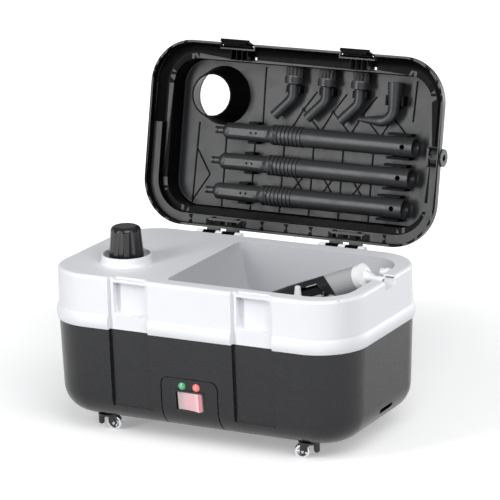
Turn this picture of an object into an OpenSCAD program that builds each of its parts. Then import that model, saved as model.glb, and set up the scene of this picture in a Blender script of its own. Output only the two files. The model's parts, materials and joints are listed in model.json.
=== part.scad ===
// Portable steam cleaner: a caster-mounted boiler case with a tool bin and a hinged lid of tools.
// Millimetres. X to the right, Y to the rear, Z up, origin on the floor below the casing's centre.
// The lid stands open; its pieces are drawn in the closed pose and turned about the hinge.

/* [Casing] */
// Width of the casing wall, left to right
case_w = 447; // [420:1:480]
// Depth of the casing wall, front to rear
case_d = 260; // [250:1:290]
// Corner radius of the casing in plan
corner_r = 64; // [60:1:70]
// Height of the underside above the floor
ground_gap = 24; // [24:0.5:28]
// Height of the dark base
base_h = 130; // [124:1:138]
// Height of the pale deck
deck_h = 71; // [68:1:84]
// Thickness of the moulded walls
wall = 3; // [2.5:0.1:3.5]
// Lean of the base wall from the vertical, in degrees
draft = 2; // [1:0.5:4]
// Radius of the rounded lower edge of the base
bottom_round = 38; // [32:1:42]
// How far the swelling at the deck's lower edge stands out
flange_out = 3.4; // [2:0.1:5]
// Height of that swelling's full arc
flange_h = 24; // [18:1:28]
// Height of the swelling's widest line above the joint
flange_rise = 8; // [5:1:10]
// Rounding of the deck's upper edge
deck_edge_r = 5; // [3:0.5:7]
// Height of the lip that locates the deck on the base
lip_lap = 6; // [4:0.5:8]
// Extra thickness behind the front channels
front_pad = 5; // [4:0.5:7]

/* [Latch channels and windows] */
// Distance of each channel from the middle
channel_x = 91; // [84:1:96]
// Width of each channel
channel_w = 60; // [54:1:62]
// Depth of each channel
channel_depth = 5; // [3:0.1:5.5]
// Height of the flat foot at the lower end of each channel
channel_foot = 23.5; // [18:0.5:28]
// Width of each latch window
window_w = 48; // [44:1:50]
// Height of each latch window
window_h = 44; // [38:1:46]
// Drop from the deck's top to the window
window_drop = 7; // [6.5:0.5:9]
// Extra depth of each window
window_depth = 10.5; // [6:0.1:11]
// Radius of a window's lower corners
window_r = 6; // [3:0.5:8]
// Depth of the notch above the bar that a latch hooks on
bar_notch = 2.5; // [1.5:0.1:3]

/* [Tool bin] */
// Position of the bin's left edge
bin_left = -45; // [-50:1:-35]
// Width of the rim in front of the bin
bin_front_rim = 21; // [18:1:26]
// Width of the rim behind the bin
bin_rear_rim = 30; // [24:1:34]
// Width of the rim at the bin's right
bin_right_rim = 18; // [16:1:22]
// Depth of the bin
bin_depth = 93; // [80:1:96]
// Radius of the bin's right corners
bin_corner_r = 48; // [40:1:52]
// Radius of the bin's left corners
bin_edge_r = 9; // [6:1:14]
// Slope of the bin's left wall, in degrees
bin_slope = 12; // [6:1:14]

/* [Hose notch] */
// Position of the notch along the right rim
notch_y = 10; // [4:1:16]
// Width of the notch
notch_w = 34; // [30:1:38]
// Depth of the notch
notch_depth = 13; // [12:0.5:15]
// Radius of the notch's lower corners
notch_r = 6; // [4:1:8]

/* [Cord slot] */
// Length of the cord slot in the right side of the base
slot_len = 32; // [20:1:40]
// Height of the cord slot
slot_h = 7; // [5:1:9]
// Height of the cord slot above the underside
slot_rise = 25; // [20:1:30]
// Position of the cord slot from front to rear
slot_y = 4; // [-20:1:20]

/* [Filler] */
// Distance of the filler from the casing's left side
filler_in = 88; // [82:0.5:92]
// Distance of the filler from the middle, to the front
filler_y = 51; // [46:1:54]
// Outer radius of the collar round the filler
collar_r = 33.5; // [31:0.5:34]
// Thickness of that collar
collar_wall = 2.2; // [1.8:0.1:3]
// Height of that collar
collar_h = 12; // [9:0.5:12.5]
// Radius of the cap at its foot
cap_r = 23.5; // [21:0.5:24.5]
// Radius of the cap near its top
cap_top_r = 20.5; // [18:0.5:22]
// Height of the cap
cap_h = 45; // [38:1:46]
// Rounding of the cap's top
cap_round = 7; // [5:0.5:10]
// Number of flutes round the cap
cap_flutes = 9; // [7:1:12]
// Radius of one flute
flute_r = 6; // [4:0.1:7]
// Outer radius of the filler neck
neck_r = 15; // [14:0.5:16]
// Bore radius of the filler neck
neck_bore_r = 10.5; // [9.5:0.5:11.5]
// Radius of the neck's flange
neck_flange_r = 22; // [20:0.5:24]
// Thickness of the neck's flange
neck_flange_t = 3; // [2:0.5:4]
// Length of the threaded plug below the cap
plug_len = 14; // [10:1:18]
// Thickness of the cap seal
seal_t = 2; // [1.5:0.1:2.5]

/* [Boiler] */
// Radius of the boiler tank
boiler_r = 58; // [52:1:58]
// Length of the boiler tank
boiler_len = 176; // [160:1:182]
// Height of the boiler's axis above the underside
boiler_rise = 96; // [92:1:99]
// Rounding of the boiler's ends
boiler_round = 22; // [16:1:26]
// Thickness of the boiler's sheet
boiler_t = 2; // [1.5:0.1:2.5]
// Width of one saddle
saddle_w = 16; // [12:1:20]
// Distance of each saddle from the boiler's middle
saddle_y = 26; // [24:1:28]
// Thickness of the strap over each saddle
strap_t = 1.2; // [1:0.1:2]

/* [Lid] */
// Gap between the deck and the closed lid
lid_gap = 1; // [0.6:0.1:2]
// How far the lid's wall lies inside the deck's wall
lid_in = 1.5; // [0.5:0.1:2]
// Depth inside the lid
lid_depth = 52; // [50:1:56]
// Height of the lid's upright lip
lid_lip = 6; // [5:0.5:8]
// Radius of the lid's shoulder
shoulder_r = 18; // [16:1:19]
// How far the raised middle lies inside the lip
shoulder_in = 22; // [20:1:24]
// Rounding of the lid's top edge
lid_round = 6; // [4.5:0.5:8]
// Depth of the ledge round the rear half
ledge_depth = 11; // [9:1:13]
// Width of the ledge round the rear half
ledge_w = 13; // [10:1:14]
// Opening angle of the lid, in degrees
lid_open = 102; // [95:1:108]
// Height of the ribs on the lid's inner face
rib_h = 1.2; // [0.8:0.1:1.4]
// Width of the ribs on the lid's inner face
rib_w = 1.8; // [1.2:0.1:2.5]
// Spacing of the long ribs
rib_pitch = 45.3; // [42:0.1:48]
// Radius of the cap well at its lower rim
well_r = 28.3; // [28:0.1:31]
// Radius of the cap well at the lid's top
well_top_r = 39; // [35:0.5:40]
// How far the cap well lies right of the filler and in front of it, for the cap's path as the lid shuts
well_off = [2.5, -3]; // [-4:0.5:4]
// Thickness of the cap well
well_t = 2.4; // [2:0.1:3]
// Gap between the filler's collar and the cap well
well_gap = 3; // [2:0.5:4]

/* [Hinge] */
// Distance of the hinge axis behind the rear wall
hinge_out = 7; // [6.8:0.1:10]
// Drop of the hinge axis below the deck
hinge_drop = 5; // [3:0.1:6]
// Distance of each hinge station from the middle
hinge_x = 94; // [84:1:104]
// Radius of the hinge knuckles
knuckle_r = 6; // [5.5:0.1:6.5]
// Width of one lid knuckle
knuckle_w = 19; // [14:1:20]
// Width of one deck lug
lug_w = 10; // [8:1:12]
// Radius of the hinge pins
hinge_pin_r = 2.5; // [2:0.1:3]

/* [Latches] */
// Width of a latch
latch_w = 44; // [40:1:46]
// How far a latch reaches below the lid's rim
latch_reach = 11; // [10:0.5:12]
// Thickness of a latch plate
latch_t = 2.5; // [2:0.1:3]
// Height of the latch pin above the lid's rim
latch_rise = 4; // [3.5:0.5:6]
// Radius of a latch pin
latch_pin_r = 1.6; // [1.4:0.1:1.8]
// Swing of a latch away from the deck in the drawn pose, in degrees
latch_swing = 15; // [8:1:25]

/* [Strap lugs] */
// Radius of a strap boss on the lid's side
boss_r = 12; // [10:0.5:12.5]
// How far a strap boss stands out
boss_out = 2; // [1:0.5:4]
// Depth of the bore in a strap boss
boss_bore_len = 13; // [10:0.5:15]
// Bore radius of a strap boss
boss_bore_r = 4.5; // [3:0.1:6]
// Height of a strap boss above the lid's rim
boss_rise = 13.5; // [13:0.5:15]

/* [Extension tubes] */
// Length of an extension tube
tube_len = 304; // [290:1:310]
// Outer radius of an extension tube
tube_r = 13.3; // [12.5:0.1:13.5]
// Clearance of a plug end in the next tube's socket
socket_gap = 0.2; // [0.1:0.05:0.4]
// Radius of the grip's ribs
grip_r = 14.2; // [13.8:0.1:14.5]
// Number of grip ribs
grip_ribs = 8; // [6:1:8]
// Radius of the plug end
plug_end_r = 11.6; // [11:0.1:12]
// Length of the plug end
plug_end_len = 76; // [72:1:80]
// Radius of the spigot at the tube's left end
spigot_r = 5; // [4.5:0.1:6]
// Length of that spigot
spigot_len = 13; // [10:1:16]
// Radius of the thumb button
button_r = 7.7; // [6:0.1:8]
// Travel of the thumb button
button_travel = 2; // [1:0.1:2.5]
// Position of the first tube from the lid's middle
tube_y = -6; // [-7:0.5:-5]
// Spacing of the tubes
tube_pitch = 42.3; // [42:0.1:43]

/* [Brush and jet nozzles] */
// Radius of a brush collar
brush_r = 12.5; // [11.5:0.1:13]
// Length of a brush collar
brush_collar = 9; // [7:0.5:10]
// Length of the bristles
bristle_len = 12; // [9:0.5:13]
// Radius of one bristle
bristle_r = 0.5; // [0.4:0.05:0.55]
// Radius of a nozzle's tube
nozzle_r = 7; // [6:0.1:7.5]
// Bend radius of a brush nozzle
nozzle_bend = 16; // [14:1:18]
// Length of a brush nozzle's slanted leg
nozzle_leg = 30; // [26:1:32]
// Length of a brush nozzle's neck
nozzle_neck = 13.5; // [12:0.5:15]
// Position of the middle brush nozzle
brush_x = 31; // [30:0.5:32]
// Spacing of the brush nozzles
brush_pitch = 50.5; // [49.5:0.5:51]
// Position of the bristle tips from the lid's middle
brush_y = -102; // [-103:0.5:-101]
// Radius of the jet nozzle's wide end
jet_r = 11; // [10:0.5:12]
// Radius of the jet nozzle's tip
jet_tip_r = 2.6; // [2:0.1:3.5]
// Position of the jet nozzle
jet_x = 134; // [132:1:138]

/* [Steam gun] */
// Radius of the gun's handle
gun_r = 16; // [15:0.5:17]
// Radius of the gun's front end
gun_tip_r = 12; // [10:0.5:13]
// Lean of the gun from the level, in degrees
gun_tilt = 21.6; // [20:0.1:23]
// Turn of the gun towards the front, in degrees
gun_turn = 8; // [6:0.5:10]
// Turn of the hose stem towards the front, in degrees
stem_turn = 22; // [18:1:26]
// Radius of the round end cap
end_cap_r = 17; // [16:0.5:18]
// Radius of the hose stem
stem_r = 4.5; // [4:0.1:5]
// Radius of the collar on the hose stem
stem_collar_r = 5.5; // [5:0.1:6]

/* [Funnel] */
// Position of the funnel in the bin, left to right
funnel_x = 107; // [80:1:125]
// Distance of the funnel from the middle, to the front
funnel_y = 27; // [20:1:40]
// Radius of the funnel's mouth
funnel_r = 38; // [30:1:42]
// Height of the funnel
funnel_h = 79; // [70:1:84]
// Wall of the funnel
funnel_t = 1.5; // [1.2:0.1:2]

/* [Switch] */
// Width of the rocker paddle
rocker_w = 38; // [34:1:40]
// Height of the rocker paddle
rocker_h = 25; // [22:1:27]
// Tilt of the rocker to either side, in degrees
rocker_tilt = 7; // [5:0.5:9]
// Width of the switch panel at its top
panel_w = 82; // [76:1:84]
// Height of the panel's top edge above the underside
panel_rise = 74; // [70:1:78]
// Width of the groove round the switch panel
panel_gap = 1.6; // [0.5:0.1:2]
// Radius of a lamp lens
lamp_r = 5.5; // [4.5:0.1:6]
// Distance between the lamps
lamp_pitch = 21; // [18:1:24]

/* [Casters] */
// Distance of each caster from the casing's side
caster_in_x = 73.5; // [70:0.5:85]
// Distance of each caster from the casing's front or rear
caster_in_y = 42; // [40:0.5:50]
// Radius of a caster wheel
wheel_r = 10.5; // [9:0.5:10.5]
// Width of a caster wheel
wheel_w = 10; // [8:0.5:11]
// Offset of the wheel from the swivel axis
caster_trail = 9; // [7:0.5:10]
// Radius of a caster's crown
crown_r = 14; // [13:0.5:15]
// Thickness of a caster's crown
crown_t = 2.6; // [2:0.1:3]
// Radius of a caster's stem
stem_pin_r = 4; // [3.5:0.1:4.5]
// Length of a caster's stem
stem_pin_len = 14; // [12:0.5:15]
// Radius of a caster's axle
axle_r = 2; // [1.5:0.1:2.2]

/* [Hidden] */
$fn = 64;

// Clearances
run_gap = 0.05;
fit_gap = 0.02;
part_gap = 0.3;
cut = 1;

// Levels and half sizes of the casing
case_hx = case_w / 2;
case_hy = case_d / 2;
base_z = ground_gap;
joint_z = base_z + base_h;
deck_z = joint_z + deck_h;
bin_floor_z = deck_z - bin_depth;
bin_right = case_hx - bin_right_rim;
bin_front = -case_hy + bin_front_rim;
bin_rear = case_hy - bin_rear_rim;

// Lid in its closed pose
lid_z = deck_z + lid_gap;
lid_hx = case_hx - lid_in;
lid_hy = case_hy - lid_in;
lid_r = corner_r - lid_in;
lid_floor_z = lid_z + lid_depth;
lid_top_z = lid_floor_z + wall;
hinge_y = case_hy + hinge_out;
hinge_z = deck_z - hinge_drop;

// Filler
filler_x = case_hx - filler_in;
cap_z = deck_z + neck_flange_t + seal_t;
boiler_z = base_z + boiler_rise;
boiler_top_z = boiler_z + boiler_r;

// Latches
latch_pin_y = -lid_hy + 3.5;
latch_pin_z = lid_z + latch_rise;
latch_knuckle_r = latch_pin_r + 1.4;
pocket_w = latch_w + 6;
pocket_y = latch_pin_y + latch_knuckle_r + 2 * part_gap;
pocket_t = 2;
latch_len = latch_rise + latch_reach;
latch_set = latch_pin_y + case_hy - channel_depth + 1;
// The plate's upper outer edge is the farthest from the pin, so the pocket clears its swing
pocket_z = latch_pin_z + norm([latch_set + latch_t, latch_knuckle_r - 1]) + part_gap;

// Lid tools
tool_gap = rib_h + part_gap;
tube_z = lid_floor_z - grip_r - tool_gap;
tube_left = [-133, -136, -142];
brush_z = lid_floor_z - brush_r - tool_gap;
brush_bend_y = brush_y + bristle_len + 2 + brush_collar + nozzle_neck;

// Gun
gun_seat = [bin_right - 25.5, 24, deck_z - 5];
gun_len = (gun_seat[2] - bin_floor_z - gun_tip_r * cos(gun_tilt) - part_gap) / sin(gun_tilt);
gun_back = 9;
trigger_at = 66;

// Switch
switch_z = base_z + panel_rise - 30;
switch_x = -4;
switch_lean = 6;
switch_y = -case_hy + tan(draft) * (joint_z - switch_z) + 2.5;
lamp_z = base_z + panel_rise - 9.6;
lamp_y = -case_hy + tan(draft) * (joint_z - lamp_z) - 0.25;

// Corners with a caster each, and the rear ones, where screws hold the deck behind its front lip
corners = [for (sx = [-1, 1], sy = [-1, 1]) [sx, sy]];
rear_corners = [for (sx = [-1, 1]) [sx, 1]];
caster_x = case_hx - caster_in_x;
caster_y = case_hy - caster_in_y;
screw_boss_r = 3.5;
screw_r = corner_r - 2 * wall - 2 * part_gap - screw_boss_r;
screw_x = case_hx - corner_r + screw_r * cos(45);
screw_y = case_hy - corner_r + screw_r * sin(45);

// Shared shapes

// Sweeps a half outline (radius across, height up) round a rounded rectangle in plan
module swept_plan(hx, hy, r, z0, z1) {
  for (c = corners)
    translate([c[0] * (hx - r), c[1] * (hy - r), 0])
      rotate_extrude() children();
  rotate([90, 0, 90])
    linear_extrude(2 * (hx - r), center = true)
      run_section(hy - r, z0, z1) children();
  rotate([90, 0, 0])
    linear_extrude(2 * (hy - r), center = true)
      run_section(hx - r, z0, z1) children();
}

// Full section of a straight run: the half outline on both sides and the middle between them
module run_section(half, z0, z1) {
  translate([half, 0]) children();
  mirror([1, 0]) translate([half, 0]) children();
  translate([-half, z0]) square([2 * half, z1 - z0]);
}

// Rod from one point along an axis
module rod_x(x0, x1, r) { translate([x0, 0, 0]) rotate([0, 90, 0]) cylinder(h = x1 - x0, r = r); }
module rod_y(y0, y1, r) { translate([0, y1, 0]) rotate([90, 0, 0]) cylinder(h = y1 - y0, r = r); }
module rod_z(z0, z1, r) { translate([0, 0, z0]) cylinder(h = z1 - z0, r = r); }

// Cone along X
module cone_x(x0, x1, r0, r1) {
  translate([x0, 0, 0]) rotate([0, 90, 0]) cylinder(h = x1 - x0, r1 = r0, r2 = r1);
}

// Box from its lowest to its highest corner
module box(a, b) { translate(a) cube(b - a); }

// Turns what is drawn in the closed pose to the open lid
module lid_pose() {
  translate([0, hinge_y, hinge_z])
    rotate([-lid_open, 0, 0])
      translate([0, -hinge_y, -hinge_z]) children();
}

// Base

// Half outline of the base: leaning wall and rounded lower edge, moved in by inset
module base_outline(inset, top) {
  arc_z = base_z + bottom_round;
  arc_x = corner_r - tan(draft) * (joint_z - arc_z) - bottom_round / cos(draft);
  arc_r = bottom_round - inset;
  z0 = base_z + inset;
  polygon([
    [0, z0],
    [arc_x, z0],
    [arc_x + arc_r * cos(draft), arc_z - arc_r * sin(draft)],
    [corner_r - inset / cos(draft) - tan(draft) * (joint_z - top), top],
    [0, top]
  ]);
  intersection() {
    translate([arc_x, arc_z]) circle(arc_r);
    translate([0, z0]) square([corner_r, top - z0]);
  }
}

module base_body(inset, top) {
  swept_plan(case_hx, case_hy, corner_r, base_z + inset, top)
    base_outline(inset, top);
}

// Straight-sided plan body between two heights
module plan_body(inset, z0, z1) {
  swept_plan(case_hx, case_hy, corner_r, z0, z1)
    translate([0, z0]) square([corner_r - inset, z1 - z0]);
}

// Blocks at both channels, w wide, between two depths from the casing's front
module channel_blocks(w, d0, d1, z0, z1) {
  for (s = [-1, 1])
    box([s * channel_x - w / 2, d0 - case_hy, z0], [s * channel_x + w / 2, d1 - case_hy, z1]);
}

// One channel down the front of the base, its floor along the drafted front
module base_channel() {
  foot = base_z + channel_foot;
  top = joint_z + cut;
  floor_y = channel_depth - case_hy;
  rotate([90, 0, 90])
    linear_extrude(channel_w, center = true)
      polygon([[-case_hy - 10, foot], [floor_y + tan(draft) * (joint_z - foot), foot],
               [floor_y - tan(draft) * cut, top], [-case_hy - 10, top]]);
}

// Outline of the switch panel seen from the front, grown by grow
module panel_outline(grow) {
  half = panel_w / 2 + grow;
  r = 10 + grow;
  top = base_z + panel_rise + grow;
  translate([switch_x, 0]) {
    translate([-half, base_z - 10]) square([2 * half, top - r - base_z + 10]);
    translate([-half + r, base_z]) square([2 * (half - r), top - base_z]);
    for (s = [-1, 1])
      translate([s * (half - r), top - r]) circle(r);
  }
}

// That outline as a prism through the front wall
module panel_prism(grow) {
  translate([0, grow - case_hy / 2 - wall, 0])
    rotate([90, 0, 0])
      linear_extrude(case_hy) panel_outline(grow);
}

// Frame of the switch, which leans with the rounded front
module switch_pose() {
  translate([switch_x, switch_y, switch_z])
    rotate([switch_lean, 0, 0]) children();
}

// Hole for the switch through the front
module switch_hole() {
  w = rocker_w / 2 + 3;
  h = rocker_h / 2 + 3;
  switch_pose() box([-w, -12, -h], [w, 40, h]);
}

module base_shell() {
  color("#4a4c50")
    difference() {
      union() {
        difference() {
          union() {
            base_body(0, joint_z);
            // Lip that the deck sits over, left out behind the channels
            difference() {
              plan_body(wall + part_gap, joint_z - cut, joint_z + lip_lap);
              channel_blocks(channel_w + 2 * wall + 2 * part_gap, 0, wall + front_pad + part_gap,
                             joint_z, joint_z + lip_lap + cut);
            }
          }
          // Hollow, narrower near the rim and behind the front channels and the panel
          difference() {
            base_body(wall, joint_z - lip_lap);
            difference() {
              box([-channel_x - channel_w / 2 - wall, -case_hy - 1, base_z - 1],
                  [channel_x + channel_w / 2 + wall, -case_hy / 2, joint_z]);
              base_body(wall + front_pad, joint_z + 1);
            }
          }
          difference() {
            plan_body(2 * wall + part_gap, joint_z - lip_lap - cut, joint_z + lip_lap + cut);
            channel_blocks(channel_w + 2 * wall, 0, wall + front_pad,
                           joint_z - lip_lap - 2 * cut, joint_z);
          }
          // Channels with a flat foot
          for (s = [-1, 1]) translate([s * channel_x, 0, 0]) base_channel();
        }
        // Caster sockets and screw pillars
        for (c = corners) {
          translate([c[0] * caster_x, c[1] * caster_y, 0])
            rod_z(base_z + wall - 0.5, base_z + stem_pin_len + wall, stem_pin_r + 5);
        }
        for (c = rear_corners)
          translate([c[0] * screw_x, c[1] * screw_y, 0])
            rod_z(base_z + bottom_round, joint_z - lip_lap + cut, 5);
      }
      // Seat of the switch panel, and the holes behind it
      difference() {
        panel_prism(panel_gap);
        base_body(wall, joint_z);
      }
      switch_hole();
      for (s = [-1, 1])
        translate([switch_x + s * lamp_pitch / 2, 0, lamp_z])
          rod_y(-case_hy - 5, -case_hy / 2, lamp_r - 1);
      // Bores for the caster stems and the casing screws
      for (c = corners) {
        translate([c[0] * caster_x, c[1] * caster_y, 0])
          rod_z(base_z - cut, base_z + stem_pin_len, stem_pin_r + run_gap);
      }
      for (c = rear_corners)
        translate([c[0] * screw_x, c[1] * screw_y, 0]) {
          rod_z(base_z - cut, joint_z - 40, 3.5);
          rod_z(base_z, joint_z, 2);
        }
      // Slot for the mains lead in the right side
      for (y = [slot_y - slot_len / 2, slot_y + slot_len / 2])
        translate([0, y, base_z + slot_rise]) rod_x(case_hx / 2, case_hx + 5, slot_h / 2);
      box([case_hx / 2, slot_y - slot_len / 2, base_z + slot_rise - slot_h / 2],
          [case_hx + 5, slot_y + slot_len / 2, base_z + slot_rise + slot_h / 2]);
    }
}

module switch_panel() {
  color("#46484c")
    difference() {
      intersection() {
        difference() {
          base_body(0, joint_z);
          base_body(wall - fit_gap, joint_z + cut);
        }
        panel_prism(0);
      }
      switch_hole();
      for (s = [-1, 1])
        translate([switch_x + s * lamp_pitch / 2, 0, lamp_z])
          rod_y(-case_hy - 5, -case_hy / 2, lamp_r - 1);
    }
}

// Switch body: a frame that fills the panel's hole, with a pocket for the paddle
module switch_housing() {
  w = rocker_w / 2 + 3 - part_gap;
  h = rocker_h / 2 + 3 - part_gap;
  color("#151517")
    switch_pose()
      difference() {
        union() {
          box([-w, -3, -h], [w, 24, h]);
          for (s = [-1, 0, 1])
            translate([s * 12, 0, 0]) box([-0.4, 23, -3], [0.4, 33, 3]);
        }
        box([-rocker_w / 2 - 1, -4, -rocker_h / 2 - part_gap],
            [rocker_w / 2 + 1, 14, rocker_h / 2 + part_gap]);
        translate([0, 6, 0]) rod_z(-h + 1.5, h - 1.5, 1.5 + run_gap);
      }
}

// Paddle on its upright pivot, drawn with its left half pressed
module rocker() {
  color("#f0c8cc")
    switch_pose()
      translate([0, 6, 0])
        rotate([0, 0, -rocker_tilt])
          union() {
            intersection() {
              box([-rocker_w / 2, -12, -rocker_h / 2], [rocker_w / 2, 3, rocker_h / 2]);
              difference() {
                translate([0, 0, -rocker_h]) cylinder(h = 2 * rocker_h, r = rocker_w / 2 + 0.2);
                translate([0, -88, -rocker_h]) cylinder(h = 2 * rocker_h, r = 80, $fn = 128);
              }
            }
            rod_z(-rocker_h / 2 - 1, rocker_h / 2 + 1, 1.5);
          }
}

module lamp(s, tint) {
  color(tint)
    translate([switch_x + s * lamp_pitch / 2, lamp_y, lamp_z]) {
      intersection() {
        translate([0, 5.6, 0]) sphere(8);
        rod_y(-5, 0, lamp_r);
      }
      rod_y(-0.1, 4.4, lamp_r - 1 - fit_gap);
    }
}
module lamp_green() { lamp(-1, "#2fae5a"); }
module lamp_red() { lamp(1, "#e2463c"); }

// Deck

// Half outline of the deck: swollen lower edge, wall and rounded upper edge
module deck_outline() {
  arc_r = (pow(flange_h / 2, 2) + pow(flange_out, 2)) / (2 * flange_out);
  intersection() {
    translate([corner_r + flange_out - arc_r, joint_z + flange_rise]) circle(arc_r);
    translate([0, joint_z]) square([corner_r + flange_out + cut, flange_h]);
  }
  translate([0, joint_z]) square([corner_r, deck_h - deck_edge_r]);
  translate([0, joint_z]) square([corner_r - deck_edge_r, deck_h]);
  translate([corner_r - deck_edge_r, deck_z - deck_edge_r]) circle(deck_edge_r);
}

// Plan of the bin, grown by grow
module bin_plan(grow) {
  x0 = bin_left - grow;
  x1 = bin_right + grow;
  y0 = bin_front - grow;
  y1 = bin_rear + grow;
  rl = bin_edge_r + grow;
  rr = bin_corner_r + grow;
  translate([x0 + rl, y0]) square([x1 - rr - x0 - rl, y1 - y0]);
  translate([x0, y0 + rl]) square([rl + cut, y1 - y0 - 2 * rl]);
  translate([x1 - rr - cut, y0 + rr]) square([rr + cut, y1 - y0 - 2 * rr]);
  for (y = [y0 + rl, y1 - rl]) translate([x0 + rl, y]) circle(rl);
  for (y = [y0 + rr, y1 - rr]) translate([x1 - rr, y]) circle(rr);
}

// Bin as a solid block with its sloping left wall
module bin_block(grow, z0, z1) {
  difference() {
    translate([0, 0, z0]) linear_extrude(z1 - z0) bin_plan(grow);
    translate([bin_left - grow, 0, deck_z])
      rotate([0, -bin_slope, 0])
        box([-100, -case_hy, -2 * bin_depth], [0, case_hy, 40]);
  }
}

// Cut through the right rim, with rounded lower corners
module hose_notch() {
  z0 = deck_z - notch_depth;
  translate([case_hx + 10, notch_y, 0])
    rotate([90, 0, -90])
      linear_extrude(bin_right_rim + 30) {
        translate([-notch_w / 2, z0 + notch_r]) square([notch_w, notch_depth]);
        translate([-notch_w / 2 + notch_r, z0]) square([notch_w - 2 * notch_r, notch_depth]);
        for (s = [-1, 1]) translate([s * (notch_w / 2 - notch_r), z0 + notch_r]) circle(notch_r);
      }
}

// One hinge station of the deck: three lugs on the hinge axis
module deck_lugs() {
  step = knuckle_w + lug_w + 2 * part_gap;
  for (i = [-1, 0, 1])
    translate([i * step, 0, 0]) {
      translate([0, hinge_y, hinge_z]) rod_x(-lug_w / 2, lug_w / 2, knuckle_r);
      box([-lug_w / 2, case_hy - wall, hinge_z - knuckle_r], [lug_w / 2, hinge_y, deck_z - 1]);
    }
}

// Window outline with round lower corners, as a prism through the front wall
module window_prism() {
  top = deck_z - window_drop;
  low = top - window_h;
  translate([0, channel_depth + window_depth - case_hy, 0])
    rotate([90, 0, 0])
      linear_extrude(30) {
        translate([-window_w / 2, low + window_r]) square([window_w, window_h - window_r]);
        translate([-window_w / 2 + window_r, low]) square([window_w - 2 * window_r, window_h]);
        for (s = [-1, 1]) translate([s * (window_w / 2 - window_r), low + window_r]) circle(window_r);
      }
}

module deck_shell() {
  color("#dfe0e4")
    difference() {
      union() {
        difference() {
          swept_plan(case_hx, case_hy, corner_r, joint_z, deck_z) deck_outline();
          difference() {
            plan_body(wall, joint_z - cut, deck_z - wall);
            // Thicker front behind the channels and the windows
            box([-channel_x - channel_w / 2 - wall, -case_hy - 1, joint_z + lip_lap + 1],
                [channel_x + channel_w / 2 + wall, wall + front_pad - case_hy, deck_z]);
            channel_blocks(channel_w + 2 * wall, -1, wall + front_pad,
                           joint_z - 2 * cut, joint_z + lip_lap + 2);
            channel_blocks(window_w + 2 * wall, -1, bin_front_rim - wall / 2,
                           joint_z + lip_lap + 1, deck_z);
          }
        }
        bin_block(wall, bin_floor_z - wall, deck_z - deck_edge_r / 2);
        // Lining of the hose notch
        box([bin_right, notch_y - notch_w / 2 - wall, deck_z - notch_depth - wall],
            [case_hx - wall / 2, notch_y + notch_w / 2 + wall, deck_z - deck_edge_r]);
        for (s = [-1, 1]) translate([s * hinge_x, 0, 0]) deck_lugs();
        for (c = rear_corners)
          translate([c[0] * screw_x, c[1] * screw_y, 0]) rod_z(joint_z, deck_z - wall / 2, screw_boss_r);
      }
      bin_block(0, bin_floor_z, deck_z + 30);
      hose_notch();
      // Channels down the front, with a window in each
      channel_blocks(channel_w, -10, channel_depth, joint_z - cut, deck_z + cut);
      for (s = [-1, 1]) translate([s * channel_x, 0, 0]) window_prism();
      channel_blocks(window_w - 2, -10, channel_depth + 5, deck_z - bar_notch, deck_z + cut);
      // Hole for the filler neck
      translate([-filler_x, -filler_y, 0]) rod_z(deck_z - 2 * wall, deck_z + cut, neck_r + fit_gap);
      for (s = [-1, 1])
        translate([s * hinge_x, hinge_y, hinge_z]) rod_x(-60, 60, hinge_pin_r + fit_gap);
      for (c = rear_corners)
        translate([c[0] * screw_x, c[1] * screw_y, 0]) rod_z(joint_z - cut, joint_z + 24, 1.5 + fit_gap);
      // Hole for the steam outlet in the bin's right wall
      translate([0, outlet_y, outlet_z]) rod_x(bin_right - 20, bin_right + wall + 2, outlet_r - 1);
    }
}

// Ring round the filler, flared at its foot
module filler_collar() {
  color("#dfe0e4")
    translate([-filler_x, -filler_y, deck_z + fit_gap])
      rotate_extrude()
        polygon([
          [collar_r - collar_wall, 0], [collar_r + 2.5, 0], [collar_r + 0.8, 2.2], [collar_r, 5],
          [collar_r, collar_h], [collar_r - collar_wall, collar_h]
        ]);
}

module hinge_pins() {
  half = 1.5 * lug_w + knuckle_w + 2 * part_gap;
  color("#b9bcc0")
    for (s = [-1, 1])
      translate([s * hinge_x, hinge_y, hinge_z]) {
        rod_x(-half, half, hinge_pin_r);
        rod_x(half, half + 1.2, hinge_pin_r + 1.2);
      }
}

// Lid

// Half outline of the lid above its rim: lip, shoulder and raised middle, moved in by inset
module lid_outline(inset) {
  raised_r = lid_r - shoulder_in - inset;
  top = lid_depth + wall - inset;
  edge = lid_round - inset;
  translate([0, lid_z - inset]) {
    square([lid_r - inset, lid_lip + inset]);
    square([lid_r - shoulder_r, lid_lip + shoulder_r]);
  }
  intersection() {
    translate([lid_r - shoulder_r, lid_z + lid_lip]) circle(shoulder_r - inset);
    translate([0, lid_z]) square([lid_r, lid_lip + shoulder_r]);
  }
  translate([0, lid_z]) square([raised_r, top - edge]);
  translate([0, lid_z]) square([raised_r - edge, top]);
  translate([raised_r - edge, lid_z + top - edge]) circle(edge);
}

module lid_body(inset) {
  swept_plan(lid_hx, lid_hy, lid_r, lid_z - inset, lid_z + lid_depth + wall - inset)
    lid_outline(inset);
}

// Ledge round the rear half of the lid
module lid_ledge() {
  intersection() {
    difference() {
      swept_plan(lid_hx, lid_hy, lid_r, lid_z + ledge_depth, lid_z + lid_lip + shoulder_r - wall)
        translate([0, lid_z + ledge_depth])
          square([lid_r - 1, lid_lip + shoulder_r - wall - ledge_depth]);
      swept_plan(lid_hx, lid_hy, lid_r, lid_z, lid_z + lid_depth)
        translate([0, lid_z]) square([lid_r - wall - ledge_w, lid_depth]);
    }
    lid_body(wall / 2);
    box([-lid_hx, -11, lid_z], [lid_hx, lid_hy, lid_z + lid_depth]);
  }
}

// A rib between two points of the lid's inner face
module floor_rib(a, b) {
  d = b - a;
  translate([a[0], a[1], lid_floor_z - rib_h])
    rotate([0, 0, atan2(d[1], d[0])])
      translate([0, -rib_w / 2, 0]) cube([norm(d), rib_w, rib_h + wall / 2]);
}

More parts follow.
